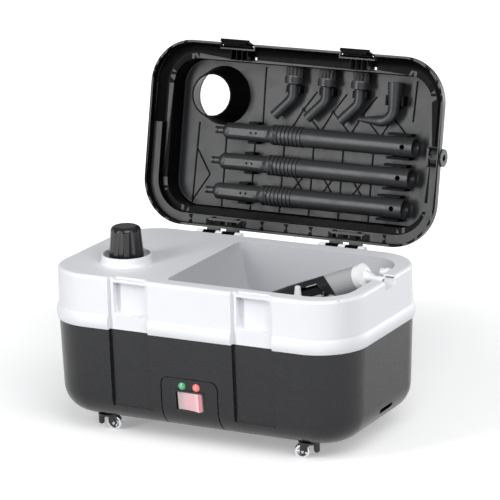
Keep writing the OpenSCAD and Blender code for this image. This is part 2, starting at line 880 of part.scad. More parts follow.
// Long ribs, a zigzag truss in front of the tubes and crosses between them
module lid_ribs() {
  rear = lid_hy - shoulder_in - wall;
  truss_y = -44;
  for (i = [-2 : 3]) {
    x = -33.7 + i * rib_pitch;
    floor_rib([x, -18], [x, rear]);
  }
  for (i = [0 : 3]) {
    x = -8 + i * rib_pitch;
    floor_rib([x, truss_y], [x - 15, -18]);
    floor_rib([x, truss_y], [x + 26, -18]);
    floor_rib([x, truss_y], [x + 19, -70]);
    translate([x, truss_y, lid_floor_z - rib_h]) cylinder(h = rib_h + wall / 2, r = 2.4);
  }
  for (i = [0 : 2]) {
    x = -8 + i * rib_pitch;
    for (s = [-1, 1]) floor_rib([x - s * 6, 50], [x + s * 6, 66]);
  }
  floor_rib([-70, -98], [-69, -18]);
  floor_rib([-168, -14], [-171, rear]);
  floor_rib([-168, 24], [-146, 58]);
  floor_rib([-146, 58], [-170, 95]);
  floor_rib([160, -96], [158, -40]);
}

// Waisted gussets on the rear ledge
module ledge_gussets() {
  len = ledge_w - 1.5;
  for (i = [0 : 8])
    translate([-150 + i * 37.1, lid_hy - wall - ledge_w + 1, lid_z + ledge_depth - 1.5])
      linear_extrude(3)
        polygon([
          [-2.8, 0], [2.8, 0], [1.2, len * 0.4], [1.2, len * 0.6], [2.8, len],
          [-2.8, len], [-1.2, len * 0.6], [-1.2, len * 0.4]
        ]);
}

// Pair of blocks on the lid's inner face, either side of something round along X
module rest_x(x0, x1, y, z, r, grow) {
  t = 3.5;
  for (k = [-1, 1])
    translate([0, y + k * (r + part_gap + t / 2), 0])
      box([x0 - grow, -t / 2 - grow, z], [x1 + grow, t / 2 + grow, lid_floor_z - fit_gap + grow]);
}

module rest_y(y0, y1, x, z, r, grow) {
  translate([x, 0, 0]) rotate([0, 0, 90]) rest_x(y0, y1, 0, z, r, grow);
}

// All the blocks that keep the lid's tools in place, grown by grow
module tool_rests(grow) {
  for (i = [0 : 2]) {
    y = tube_y + i * tube_pitch;
    x = tube_left[i];
    rest_x(x + tube_len - 42, x + tube_len - 8, y, tube_z, tube_r + 0.9, grow);
    rest_x(x + 50, x + 64, y, tube_z, plug_end_r, grow);
    rest_y(brush_bend_y - nozzle_neck + 2.5, brush_bend_y - 0.5, brush_x + (i - 1) * brush_pitch, brush_z,
           nozzle_r, grow);
  }
  rest_y(-74, -60, jet_x, brush_z, jet_r - 1.2, grow);
}

// Cone round the filler cap's place, from just above the collar to the lid's inner face
module well_cone(grow, over) {
  z0 = deck_z + collar_h + well_gap;
  translate([well_off[0] - filler_x, well_off[1] - filler_y, z0 - over])
    cylinder(h = lid_floor_z - fit_gap - z0 + 2 * over, r1 = well_r + grow, r2 = well_top_r + grow);
}

// Tool rests on the lid's inner face
module lid_rack() {
  color("#2e3033")
    lid_pose() tool_rests(0);
}

// Funnel-shaped well that goes round the filler cap when the lid is shut
module cap_well() {
  color("#2e3033")
    lid_pose()
      difference() {
        well_cone(well_t, 0);
        well_cone(0, 0.01);
      }
}

// Pocket in the front wall for a latch
module latch_pocket(grow) {
  w = pocket_w / 2 + grow;
  box([-w, -lid_hy - 6, lid_z - grow], [w, pocket_y + grow, pocket_z + grow]);
}

// Block round the pocket, and four webs from it to the wall of the raised middle
module pocket_block() {
  intersection() {
    latch_pocket(pocket_t);
    lid_body(0);
  }
  for (x = [-12.6, -4.2, 4.2, 12.6])
    translate([x, 0, lid_z])
      box([-0.8, pocket_y + pocket_t / 2, 7],
          [0.8, -lid_hy + shoulder_in + wall / 2, lid_lip + shoulder_r - wall / 2]);
}

// Knuckles, their arms and a slotted plate at one hinge station of the lid
module lid_knuckles() {
  step = (knuckle_w + lug_w) / 2 + part_gap;
  half = knuckle_w + lug_w / 2 + 2 * part_gap + 3;
  difference() {
    box([-half, lid_hy - ledge_w, lid_z + 3], [half, lid_hy - wall / 2, lid_z + 6]);
    for (x = [-18, 0, 18]) translate([x, lid_hy - ledge_w, lid_z]) box([-5, 3, 2], [5, 8, 7]);
  }
  for (s = [-1, 1])
    translate([s * step, 0, 0]) {
      translate([0, hinge_y, hinge_z]) rod_x(-knuckle_w / 2, knuckle_w / 2, knuckle_r);
      box([-knuckle_w / 2, lid_hy - wall / 2, lid_z + 1], [knuckle_w / 2, hinge_y + knuckle_r, lid_z + 6]);
      box([-knuckle_w / 2, hinge_y - 2, hinge_z], [knuckle_w / 2, hinge_y + knuckle_r, lid_z + 2]);
    }
}

// Strap boss on the right side, with a stiffening frame inside the wall
module strap_boss() {
  intersection() {
    translate([0, 3, lid_z + boss_rise]) {
      rod_x(lid_hx + boss_out - boss_bore_len - wall, lid_hx, boss_r);
      for (y = [-12, 0, 12]) box([lid_hx - 19, y - 1.2, -9], [lid_hx - 2, y + 1.2, 5]);
      box([lid_hx - 20, -13.2, -9], [lid_hx - 17, 13.2, 9]);
    }
    lid_body(0);
  }
  translate([0, 3, lid_z + boss_rise]) rod_x(lid_hx - 6, lid_hx + boss_out, boss_r);
}

module lid_shell() {
  color("#2e3033")
    lid_pose()
      difference() {
        union() {
          difference() {
            lid_body(0);
            lid_body(wall);
          }
          lid_ledge();
          ledge_gussets();
          difference() {
            lid_ribs();
            tool_rests(part_gap);
          }
          for (s = [-1, 1]) {
            translate([s * channel_x, 0, 0]) pocket_block();
            translate([s * hinge_x, 0, 0]) lid_knuckles();
          }
          strap_boss();
        }
        // Opening over the cap well, and the well's own place among the ribs
        translate([well_off[0] - filler_x, well_off[1] - filler_y, 0]) {
          rod_z(lid_floor_z - cut, lid_top_z + cut, well_top_r);
          rod_z(lid_floor_z - 2 * rib_h, lid_floor_z, well_top_r + well_t + part_gap);
        }
        for (s = [-1, 1]) {
          translate([s * channel_x, 0, 0]) {
            latch_pocket(0);
            box([17, -lid_hy + shoulder_in - 4, lid_z + 16], [21, -lid_hy + shoulder_in - 0.5, lid_z + 30]);
            translate([0, latch_pin_y, latch_pin_z])
              rod_x(-pocket_w / 2 - wall - 2, pocket_w / 2 + wall + 2, latch_pin_r + fit_gap);
          }
          translate([s * hinge_x, hinge_y, hinge_z]) rod_x(-60, 60, hinge_pin_r + run_gap);
        }
        translate([0, 3, lid_z + boss_rise])
          rod_x(lid_hx + boss_out - boss_bore_len, lid_hx + boss_out + cut, boss_bore_r);
      }
}

module latch_pins() {
  color("#b9bcc0")
    lid_pose()
      for (s = [-1, 1])
        translate([s * channel_x, latch_pin_y, latch_pin_z])
          rod_x(-pocket_w / 2 - wall / 2, pocket_w / 2 + wall / 2, latch_pin_r);
}

// Latch: a plate on a cranked knuckle, with a hook inside its lower edge, swung away from the deck
module latch(s) {
  color("#26282b")
    lid_pose()
      translate([s * channel_x, latch_pin_y, latch_pin_z])
        rotate([-latch_swing, 0, 0])
          difference() {
            union() {
              rod_x(-latch_w / 2, latch_w / 2, latch_knuckle_r);
              box([-latch_w / 2, -latch_set - latch_t, -latch_len],
                  [latch_w / 2, -latch_set, latch_knuckle_r - 1]);
              box([-latch_w / 2, -latch_set - cut, -3], [latch_w / 2, 0, latch_knuckle_r - 1]);
              box([-latch_w / 2 + 4, -latch_set - cut, -latch_len],
                  [latch_w / 2 - 4, -latch_set + 3.3, -latch_len + 2.6]);
              box([-latch_w / 2, -latch_set - latch_t - 1.5, -latch_len],
                  [latch_w / 2, -latch_set - cut, -latch_len + 2.5]);
            }
            rod_x(-latch_w, latch_w, latch_pin_r + run_gap);
          }
}
module latch_left() { latch(-1); }
module latch_right() { latch(1); }

// Boiler and its fittings

// Half outline of a tank with rounded ends, its axis upright
module tank_outline(r, len, edge) {
  square([r - edge, len]);
  translate([0, edge]) square([r, len - 2 * edge]);
  for (z = [edge, len - edge]) translate([r - edge, z]) circle(edge);
}

module boiler_pose() {
  translate([-filler_x, 0, boiler_z]) rotate([-90, 0, 0]) translate([0, 0, -boiler_len / 2]) children();
}

heater_r = 14;
valve_x = -filler_x + boiler_r + 16;
valve_y = 46;
stub_r = 4;
outlet_y = 57;
outlet_z = deck_z - 8;
outlet_r = 6.2;
pipe_r = 3;
pipe_z = bin_floor_z - wall - 14;
riser_x = (bin_right + wall + case_hx - 2 * wall - part_gap) / 2;

module boiler_tank() {
  color("#b4b7bb")
    difference() {
      union() {
        boiler_pose() rotate_extrude() tank_outline(boiler_r, boiler_len, boiler_round);
        // Stub for the steam valve
        translate([-filler_x, valve_y, boiler_z]) rod_x(boiler_r - 6, valve_x + filler_x - 8, stub_r + 3);
      }
      boiler_pose()
        translate([0, 0, boiler_t])
          rotate_extrude()
            tank_outline(boiler_r - boiler_t, boiler_len - 2 * boiler_t, boiler_round - boiler_t);
      translate([-filler_x, -filler_y, 0]) rod_z(boiler_z, boiler_top_z + 5, neck_bore_r);
      translate([-filler_x, valve_y, boiler_z]) rod_x(0, valve_x + filler_x, stub_r);
      translate([-filler_x, 0, boiler_z]) rod_y(0, boiler_len, heater_r);
    }
}

// Two saddles and the straps that hold the boiler down on them
module boiler_mounts() {
  foot = boiler_r * 0.6;
  color("#8b8e92")
    for (s = [-1, 1])
      translate([-filler_x, s * saddle_y, 0]) {
        difference() {
          union() {
            box([-foot, -saddle_w / 2, base_z + wall], [foot, saddle_w / 2, base_z + 2 * wall]);
            box([8 - foot, -saddle_w / 2, base_z + wall], [foot - 8, saddle_w / 2, boiler_z - boiler_r + 8]);
          }
          translate([0, 0, boiler_z]) rod_y(-saddle_w, saddle_w, boiler_r + strap_t + fit_gap);
          box([-foot / 2, -saddle_w, base_z + 2 * wall], [foot / 2, saddle_w, boiler_z - boiler_r - 8]);
        }
        translate([0, 0, boiler_z])
          difference() {
            union() {
              rod_y(-saddle_w / 2 + 2, saddle_w / 2 - 2, boiler_r + strap_t);
              box([-5, -saddle_w / 2 + 2, boiler_r - 4], [5, saddle_w / 2 - 2, boiler_r + 7]);
            }
            rod_y(-saddle_w, saddle_w, boiler_r + fit_gap);
            box([-1.5, -saddle_w, boiler_r - 5], [1.5, saddle_w, boiler_r + 8]);
          }
      }
}

module filler_neck() {
  color("#c2a14a")
    translate([-filler_x, -filler_y, 0])
      difference() {
        union() {
          rod_z(boiler_z, deck_z + cut, neck_r);
          rod_z(deck_z + fit_gap, deck_z + neck_flange_t, neck_flange_r);
          rod_z(deck_z - wall - 8, deck_z - wall - fit_gap, neck_r + 5);
        }
        rod_z(boiler_z - cut, deck_z + neck_flange_t + cut, neck_bore_r);
        translate([0, filler_y, boiler_z]) rod_y(-boiler_len / 2, boiler_len / 2, boiler_r + fit_gap);
      }
}

module cap_plug() {
  color("#c2a14a")
    translate([-filler_x, -filler_y, 0]) {
      rod_z(cap_z - seal_t - plug_len, cap_z + 6, neck_bore_r - part_gap);
      for (i = [0 : 3])
        rod_z(cap_z - seal_t - plug_len + 1 + 3 * i, cap_z - seal_t - plug_len + 2.5 + 3 * i,
              neck_bore_r - 2 * run_gap);
    }
}

module cap_seal() {
  color("#7b3a2e")
    translate([-filler_x, -filler_y, 0])
      difference() {
        rod_z(cap_z - seal_t + fit_gap, cap_z - fit_gap, neck_flange_r - 4);
        rod_z(cap_z - seal_t - cut, cap_z + cut, neck_bore_r - part_gap + fit_gap);
      }
}

// Fluted knob with a rounded top, on the upper end of the plug
module filler_cap() {
  color("#17181a")
    translate([-filler_x, -filler_y, cap_z])
      difference() {
        rotate_extrude() {
          polygon([[0, 0], [cap_r, 0], [cap_r, 4], [cap_top_r, cap_h - cap_round], [0, cap_h - cap_round]]);
          square([cap_top_r - cap_round, cap_h]);
          intersection() {
            translate([cap_top_r - cap_round, cap_h - cap_round]) circle(cap_round);
            square([cap_r, cap_h]);
          }
        }
        rod_z(-cut, 6 + fit_gap, neck_bore_r - part_gap + run_gap);
        for (i = [0 : cap_flutes - 1])
          rotate([0, 0, i * 360 / cap_flutes])
            translate([cap_r + flute_r * 0.55, 0, 5])
              rotate([0, -atan2((cap_r - cap_top_r) / 2, cap_h - cap_round), 0])
                cylinder(h = cap_h, r = flute_r);
      }
}

module heating_element() {
  end_y = boiler_len / 2;
  color("#a9774a")
    translate([-filler_x, 0, boiler_z]) {
      translate([0, 0, 0]) rod_y(end_y + fit_gap, end_y + 5, heater_r + 6);
      rod_y(end_y - 8, end_y + 1, heater_r - fit_gap);
      for (s = [-1, 1]) {
        translate([s * 8, 0, 0]) rod_y(-40, end_y - 7, 3.2);
        translate([s * 8, 0, 0]) rod_y(end_y + 4, end_y + 12, 2);
      }
      translate([0, -40, 0]) rotate([0, 0, 180]) rotate_extrude(angle = 180) translate([8, 0]) circle(3.2);
    }
}

// A round sensor with two blades, standing on top of the boiler
module top_sensor(y, r, h) {
  translate([-filler_x, y, 0])
    difference() {
      union() {
        rod_z(boiler_z + boiler_r - 4, boiler_top_z + h, r);
        for (s = [-1, 1])
          translate([s * r / 2, 0, boiler_top_z + h]) box([-0.4, -3, -1], [0.4, 3, 8]);
      }
      translate([0, -y, boiler_z]) rod_y(-boiler_len, boiler_len, boiler_r + fit_gap);
    }
}
// Control thermostat and safety cut-out
module thermostats() {
  color("#d8d2c4")
    for (y = [-9, 9]) top_sensor(y, 8, 7);
}
module pressure_switch() { color("#303236") top_sensor(52, 11, 18); }

module steam_valve() {
  color("#6d7075")
    translate([valve_x, valve_y, boiler_z]) {
      difference() {
        union() {
          box([-8 + fit_gap, -12, -12], [12, 12, 10]);
          box([-6, -14, -44], [24, 14, -12]);
          rod_z(10, 14, 9);
        }
        rod_x(-10, -2, stub_r);
        translate([0, 0, pipe_z - boiler_z]) rod_x(2, 30, pipe_r + fit_gap);
      }
    }
}

// Pipe from the valve, below the bin to the right, then up beside its right wall
module steam_pipe() {
  bend = 6;
  color("#b87f4e")
    translate([0, valve_y, 0]) {
      translate([0, 0, pipe_z]) rod_x(valve_x + 2, riser_x - bend, pipe_r);
      translate([riser_x - bend, 0, pipe_z + bend])
        rotate([90, 0, 0]) rotate([0, 0, -90]) rotate_extrude(angle = 90) translate([bend, 0]) circle(pipe_r);
      translate([riser_x, 0, 0]) rod_z(pipe_z + bend, outlet_z - bend, pipe_r);
      translate([riser_x, bend, outlet_z - bend])
        rotate([90, 0, 90]) rotate([0, 0, 90]) rotate_extrude(angle = 90) translate([bend, 0]) circle(pipe_r);
      translate([riser_x, 0, outlet_z]) rod_y(bend, outlet_y - valve_y + 2, pipe_r);
    }
}

module steam_outlet() {
  color("#eef0f2")
    translate([0, outlet_y, outlet_z])
      difference() {
        union() {
          rod_x(bin_right - 17, bin_right - 1.5, outlet_r);
          rod_x(bin_right - 9, bin_right - 5, outlet_r + 1.3);
          rod_x(bin_right - 2, bin_right + wall + part_gap, outlet_r - 1 - fit_gap);
          rod_x(bin_right + wall + part_gap - 0.01, riser_x, outlet_r - 1.7);
        }
        rod_x(bin_right - 18, riser_x - 2, 2.5);
        rotate([0, 35, 0]) box([bin_right * cos(35) - 40, -10, -10], [bin_right * cos(35) - 18, 10, 10]);
        translate([riser_x, 0, 0]) rod_y(-20, 10, pipe_r + fit_gap);
      }
}

module terminal_block() {
  x0 = -20;
  y0 = -60;
  color("#e6e2d6")
    difference() {
      box([x0, y0, base_z + wall], [x0 + 60, y0 + 22, base_z + wall + 18]);
      for (i = [0 : 4])
        translate([x0 + 6 + i * 12, y0 + 11, 0]) {
          rod_z(base_z + wall + 8, base_z + wall + 20, 3.2);
          translate([0, 0, base_z + wall + 6]) rod_y(-20, 20, 2);
        }
    }
}

// Sensors on the boiler and the block for the mains wires, both of unglazed ceramic
module ceramic_fittings() {
  thermostats();
  terminal_block();
}

module case_screws() {
  color("#8f9296")
    for (c = rear_corners)
      translate([c[0] * screw_x, c[1] * screw_y, 0])
        difference() {
          union() {
            rod_z(joint_z - 43, joint_z - 40 - fit_gap, 3.3);
            rod_z(joint_z - 41, joint_z + 22, 1.5);
          }
          rod_z(joint_z - 44, joint_z - 41.5, 1.5, $fn = 6);
        }
}

// Lid tools

// Where the thumb button sits on a tube, measured from the tube's left end
button_at = spigot_len + plug_end_len + 3;
flat_z = -plug_end_r + 0.9;
shoulder = 8;

module tube_pose(i) {
  lid_pose() translate([tube_left[i], tube_y + i * tube_pitch, tube_z]) children();
}

// Extension tube along X: spigot, plug end, ribbed grip and socket end
module tube(i) {
  grip_x = spigot_len + plug_end_len;
  grip_len = 48;
  rib_step = grip_len / grip_ribs;
  color("#57595d")
    tube_pose(i)
      difference() {
        union() {
          rod_x(0, 3.4, spigot_r);
          rod_x(3, 6, spigot_r - 1);
          rod_x(5.6, spigot_len + 1, spigot_r);
          translate([spigot_len, 0, 0])
            rotate([0, 90, 0])
              rotate_extrude() {
                square([plug_end_r - shoulder, shoulder + 1]);
                intersection() {
                  translate([plug_end_r - shoulder, shoulder]) circle(shoulder);
                  square([plug_end_r, shoulder]);
                }
              }
          rod_x(spigot_len + shoulder, grip_x + 1, plug_end_r);
          rod_x(grip_x, grip_x + grip_len + 1, plug_end_r + 0.9);
          for (k = [0 : grip_ribs - 1])
            translate([grip_x + k * rib_step, 0, 0]) rod_x(0.8, rib_step - 1.2, grip_r);
          rod_x(grip_x + grip_len, tube_len, tube_r);
          rod_x(tube_len - 26, tube_len, tube_r + 0.6);
        }
        rod_x(-cut, tube_len, 2.2);
        rod_x(grip_x + grip_len + 4, tube_len + cut, plug_end_r + socket_gap);
        // Flat with two pin holes on the side that faces out of the lid
        box([spigot_len + shoulder + 3, -4.5, -plug_end_r - cut], [grip_x - 8, 4.5, flat_z]);
        for (x = [grip_x - 30, grip_x - 22])
          translate([x, 0, 0]) rod_z(-plug_end_r - cut, -plug_end_r + 5, 1.6);
        translate([button_at, 0, 0]) rod_z(-grip_r - cut, -plug_end_r + 4, button_r + run_gap);
        translate([tube_len - 14, 0, 0]) rod_z(-grip_r - cut, 0, 3.6);
      }
}
module tube_1() { tube(0); }
module tube_2() { tube(1); }
module tube_3() { tube(2); }

// Thumb button: a domed pin in its bore
module tube_button(i) {
  color("#6a6c70")
    tube_pose(i)
      translate([button_at, 0, 0])
        intersection() {
          rod_z(-grip_r - 1, -plug_end_r + 4 - button_travel - part_gap, button_r);
          sphere(grip_r + 0.6);
        }
}
module tube_button_1() { tube_button(0); }
module tube_button_2() { tube_button(1); }
module tube_button_3() { tube_button(2); }

// Bend in the lid's plane, from along +Y towards -X, starting at the origin
module bend_left(radius, angle, r) {
  translate([-radius, 0, 0]) rotate_extrude(angle = angle) translate([radius, 0]) circle(r);
}

module brush_pose(i) {
  lid_pose() translate([brush_x + (i - 1) * brush_pitch, brush_bend_y, brush_z]) children();
}

// Brush nozzle: collar, neck, bend and slanted leg
module brush(i) {
  neck = -nozzle_neck;
  leg_x = -nozzle_bend * (1 - cos(45));
  leg_y = nozzle_bend * sin(45);
  color("#56585c")
    brush_pose(i)
      difference() {
        union() {
          rod_y(neck - brush_collar, neck, brush_r);
          rod_y(neck - brush_collar + 2.5, neck - brush_collar + 4, brush_r + 0.8);
          rod_y(neck - 1, 0, nozzle_r);
          translate([0, neck + 2, 0])
            rotate([90, 0, 0]) cylinder(h = 3, r1 = nozzle_r - 0.5, r2 = brush_r - 2);
          bend_left(nozzle_bend, 45, nozzle_r);
          // The leg is a shade fatter than the bend, which it sleeves
          translate([leg_x, leg_y, 0]) rotate([0, 0, 45]) rod_y(-0.3, nozzle_leg, nozzle_r + 0.2);
        }
        translate([leg_x, leg_y, 0]) rotate([0, 0, 45]) rod_y(6, nozzle_leg + cut, nozzle_r - 2);
      }
}
module brush_1() { brush(0); }
module brush_2() { brush(1); }
module brush_3() { brush(2); }

// Bundles of straight bristles on a thin backing disc: an outer ring and an inner ring
module bristles(i) {
  outer = 12;
  inner = 5;
  foot = 2;
  color("#86888c")
    brush_pose(i)
      translate([0, -nozzle_neck - brush_collar, 0])
        rotate([90, 0, 0]) {
          cylinder(h = foot, r = brush_r - 0.4);
          for (k = [0 : outer - 1])
            rotate([0, 0, k * 360 / outer]) translate([brush_r - 3, 0, 0]) bundle(6, foot);
          for (k = [0 : inner - 1])
            rotate([0, 0, k * 360 / inner]) translate([4.6, 0, 0]) bundle(6, foot);
        }
}

// One bundle: a middle bristle and a ring of them
module bundle(count, foot) {
  spread = 2.6 * bristle_r;
  for (k = [0 : count])
    rotate([0, 0, k * 360 / count])
      translate([k == count ? 0 : spread, 0, foot - 0.5])
        cylinder(h = bristle_len + 0.5, r = bristle_r, $fn = 3);
}
module bristles_1() { bristles(0); }
module bristles_2() { bristles(1); }
module bristles_3() { bristles(2); }

// Plain nozzle: wide socket, square bend and long tapering tip
module jet_nozzle() {
  bend = 19;
  bend_r = nozzle_r + 0.6;
  color("#56585c")
    lid_pose()
      translate([jet_x, -57, brush_z])
        difference() {
          union() {
            translate([0, -35, 0]) rotate([-90, 0, 0]) cylinder(h = 35, r1 = jet_r, r2 = bend_r);
            bend_left(bend, 90, bend_r);
            translate([-bend, bend, 0]) mirror([1, 0, 0]) cone_x(0, 33, bend_r, jet_tip_r);
          }
          rod_y(-36, -14, jet_r - 3);
          translate([-bend, bend, 0]) mirror([1, 0, 0]) rod_x(20, 40, jet_tip_r - 1.2);
        }
}

// Steam gun

// Gun frame: X along the handle towards its end cap, origin at the cap's centre
module gun_pose() {
  translate(gun_seat) rotate([0, -gun_tilt, -gun_turn]) children();
}

// Hollow handle with a slanted opening for the trigger on its near side
module gun_shell() {
  front = -gun_len;
  color("#6f7175")
    gun_pose()
      difference() {
        union() {
          rod_x(-126, -gun_back, gun_r);
          cone_x(front, -125.5, gun_tip_r, gun_r);
        }
        rod_x(-122, 0, gun_r - wall);
        rod_x(front - cut, -120, 4 + fit_gap);
        rotate([90, 0, 0])
          linear_extrude(3 * gun_r, center = true)
            polygon([[-114, -gun_r - 2], [-46, -gun_r - 2], [-70, 9], [-108, 9]]);
      }
}

// Valve body inside the handle, with the steam tube that runs to the front
module gun_core() {
  color("#1d1e20")
    gun_pose()
      difference() {
        union() {
          rod_x(-121.5, -gun_back - 4, 7);
          rod_x(-gun_len, -121, 4);
          box([-50, -9, 0], [-20, 9, 9]);
          for (x = [-118, -16]) rod_x(x - 2, x + 2, gun_r - wall - fit_gap);
          for (s = [-1, 1]) box([-trigger_at - 5, s * 8 - 1.5, -8], [-trigger_at + 5, s * 8 + 1.5, 3]);
        }
        rod_x(-gun_len - cut, -90, 2);
        translate([-trigger_at, 0, -5]) rod_y(-12, 12, 1.5 + fit_gap);
      }
}

module trigger_pin() {
  color("#b9bcc0")
    gun_pose() translate([-trigger_at, 0, -5]) rod_y(-9.4, 9.4, 1.5);
}

// Trigger lever on its pin, reaching forward below the valve body
module gun_trigger() {
  color("#242527")
    gun_pose()
      translate([-trigger_at, 0, -5])
        difference() {
          union() {
            rod_y(-6, 6, 3.2);
            rotate([0, -14, 0]) box([-38, -5.5, -6.2], [0, 5.5, -3]);
            rotate([0, -14, 0]) box([-4, -5.5, -6.2], [3, 5.5, 0]);
          }
          rod_y(-20, 20, 1.5 + run_gap);
          translate([0, 0, 5]) rod_x(-60, 20, 7 + 4 * part_gap);
        }
}

// Domed white end of the handle, with a spigot that plugs into the shell and a nub for the hose stem
module gun_end_cap() {
  dome_r = 2 * end_cap_r;
  color("#f4f5f6")
    difference() {
      union() {
        gun_pose()
          rotate([0, 90, 0])
            rotate_extrude() {
              intersection() {
                translate([0, 5 - dome_r]) circle(dome_r);
                translate([0, -gun_back + fit_gap]) square([end_cap_r, end_cap_r]);
              }
              translate([0, -gun_back - 3]) square([gun_r - wall - fit_gap, gun_back]);
            }
        stem_pose() cone_x(0, 15, stem_r + 4, stem_r + 1);
      }
      stem_pose() rod_x(8, 40, stem_r + fit_gap);
    }
}

module stem_pose() { translate(gun_seat) rotate([0, 0, -stem_turn]) children(); }

// Hose stem with its collar, lying in the notch
module hose_stem() {
  color("#55575b")
    stem_pose()
      difference() {
        union() {
          rod_x(8 + fit_gap, 36, stem_r);
          rod_x(26, 33, stem_collar_r);
        }
        rod_x(20, 37, 2.4);
      }
}

// Filling funnel standing on its mouth
module funnel() {
  rim_h = 10;
  cone_h = 40;
  spout_r = 7.8;
  tip_r = 3.6;
  body_r = funnel_r - 2;
  color("#f6f7f8")
    translate([funnel_x, -funnel_y, bin_floor_z + part_gap])
      difference() {
        union() {
          rod_z(0, 3, funnel_r);
          rod_z(0, rim_h, body_r);
          translate([0, 0, rim_h]) cylinder(h = cone_h - rim_h, r1 = body_r, r2 = spout_r);
          translate([0, 0, cone_h]) cylinder(h = funnel_h - cone_h, r1 = spout_r, r2 = tip_r);
        }
        translate([0, 0, -cut]) cylinder(h = rim_h + 2 * cut, r = body_r - funnel_t);
        translate([0, 0, rim_h - 0.01])
          cylinder(h = cone_h - rim_h, r1 = body_r - funnel_t, r2 = spout_r - funnel_t);
        translate([0, 0, cone_h - 0.02])
          cylinder(h = funnel_h - cone_h + 1, r1 = spout_r - funnel_t, r2 = tip_r - funnel_t);
      }
}

// Casters

crown_z = base_z - 0.5;
caster_turn = [13, 200, 207, 150];

// Caster frame at one corner: X towards the wheel, origin on the floor below the swivel axis
module caster_pose(k) {
  translate([corners[k][0] * caster_x, corners[k][1] * caster_y, 0])
    rotate([0, 0, caster_turn[k]]) children();
}

// Crown with its stem, two legs down to the axle and a rounded tail
module caster_fork(k) {
  leg_y = wheel_w / 2 + 0.6;
  color("#232427")
    caster_pose(k)
      difference() {
        union() {
          rod_z(crown_z, base_z + stem_pin_len - 1, stem_pin_r);
          rod_z(crown_z - crown_t, crown_z, crown_r);
          for (s = [-1, 1])
            translate([0, s * (leg_y + 1.5), 0]) {
              box([2, -1.5, wheel_r], [caster_trail + 3, 1.5, crown_z - crown_t / 2]);
              translate([caster_trail, 0, wheel_r]) rod_y(-1.5, 1.5, 3.6);
            }
          translate([-crown_r + 4, 0, 0]) {
            rod_z(wheel_r, crown_z - crown_t / 2, 4);
            translate([0, 0, wheel_r]) sphere(4);
          }
        }
        translate([caster_trail, 0, wheel_r]) {
          rod_y(-20, 20, axle_r + fit_gap);
          rod_y(-leg_y, leg_y, wheel_r + 0.8);
        }
      }
}

module caster_axle(k) {
  half = wheel_w / 2 + 3.6;
  color("#c6c8cb") caster_pose(k) translate([caster_trail, 0, wheel_r]) rod_y(-half, half, axle_r);
}

// Wheel with a crowned rim, five spokes and a hub
module caster_wheel(k) {
  color("#d4d6d9")
    caster_pose(k)
      translate([caster_trail, 0, wheel_r])
        difference() {
          union() {
            rotate([90, 0, 0])
              rotate_extrude()
                intersection() {
                  circle(wheel_r);
                  translate([wheel_r - 3.4, -wheel_w / 2]) square([5, wheel_w]);
                }
            rod_y(-wheel_w / 2, wheel_w / 2, axle_r + 1.8);
            for (a = [0 : 72 : 359])
              rotate([0, a, 0]) box([axle_r + 0.5, -1.2, -1.1], [wheel_r - 3, 1.2, 1.1]);
          }
          rod_y(-wheel_w, wheel_w, axle_r + run_gap);
        }
}

// Corner order: front left, rear left, front right, rear right
module caster_fork_fl() { caster_fork(0); }
module caster_fork_rl() { caster_fork(1); }
module caster_fork_fr() { caster_fork(2); }
module caster_fork_rr() { caster_fork(3); }
module caster_axle_fl() { caster_axle(0); }
module caster_axle_rl() { caster_axle(1); }
module caster_axle_fr() { caster_axle(2); }
module caster_axle_rr() { caster_axle(3); }
module caster_wheel_fl() { caster_wheel(0); }
module caster_wheel_rl() { caster_wheel(1); }
module caster_wheel_fr() { caster_wheel(2); }
module caster_wheel_rr() { caster_wheel(3); }

base_shell();
switch_panel();
switch_housing();
rocker();
lamp_green();
lamp_red();
deck_shell();
filler_collar();
hinge_pins();
lid_shell();
lid_rack();
cap_well();
latch_pins();
latch_left();
latch_right();
boiler_tank();
boiler_mounts();
filler_neck();
cap_plug();
cap_seal();
filler_cap();
heating_element();
ceramic_fittings();
pressure_switch();
steam_valve();
steam_pipe();
steam_outlet();
case_screws();
tube_1();
tube_2();
tube_3();
tube_button_1();
tube_button_2();
tube_button_3();
brush_1();
brush_2();
brush_3();
bristles_1();
bristles_2();
bristles_3();
jet_nozzle();
gun_shell();
gun_core();
gun_trigger();
trigger_pin();
gun_end_cap();
hose_stem();
funnel();
caster_fork_fl();
caster_fork_fr();
caster_fork_rl();
caster_fork_rr();
caster_axle_fl();
caster_axle_fr();
caster_axle_rl();
caster_axle_rr();
caster_wheel_fl();
caster_wheel_fr();
caster_wheel_rl();
caster_wheel_rr();
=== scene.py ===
import json
import math
import bpy
import bmesh
from mathutils import Matrix, Vector


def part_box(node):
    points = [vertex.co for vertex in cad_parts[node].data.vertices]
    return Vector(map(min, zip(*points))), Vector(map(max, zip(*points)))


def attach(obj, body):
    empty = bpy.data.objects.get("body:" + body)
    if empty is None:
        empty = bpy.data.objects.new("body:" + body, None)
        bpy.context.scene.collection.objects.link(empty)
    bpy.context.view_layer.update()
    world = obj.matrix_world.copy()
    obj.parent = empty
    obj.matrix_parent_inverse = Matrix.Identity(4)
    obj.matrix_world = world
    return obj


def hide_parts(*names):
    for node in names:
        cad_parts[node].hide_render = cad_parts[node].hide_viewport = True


# Portable steam cleaner, lid open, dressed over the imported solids. All lengths are metres.
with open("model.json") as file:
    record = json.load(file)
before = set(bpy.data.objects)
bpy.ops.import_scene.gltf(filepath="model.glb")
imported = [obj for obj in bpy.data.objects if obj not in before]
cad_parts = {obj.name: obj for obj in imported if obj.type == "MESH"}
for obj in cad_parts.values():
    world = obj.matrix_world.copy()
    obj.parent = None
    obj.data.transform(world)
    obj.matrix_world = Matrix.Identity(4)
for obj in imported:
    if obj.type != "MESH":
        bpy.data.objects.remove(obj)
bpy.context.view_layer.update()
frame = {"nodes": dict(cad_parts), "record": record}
nodes = frame["nodes"]
body_of_node = {n: b for b, members in frame["record"]["behaviour"]["bodies"].items() for n in members}
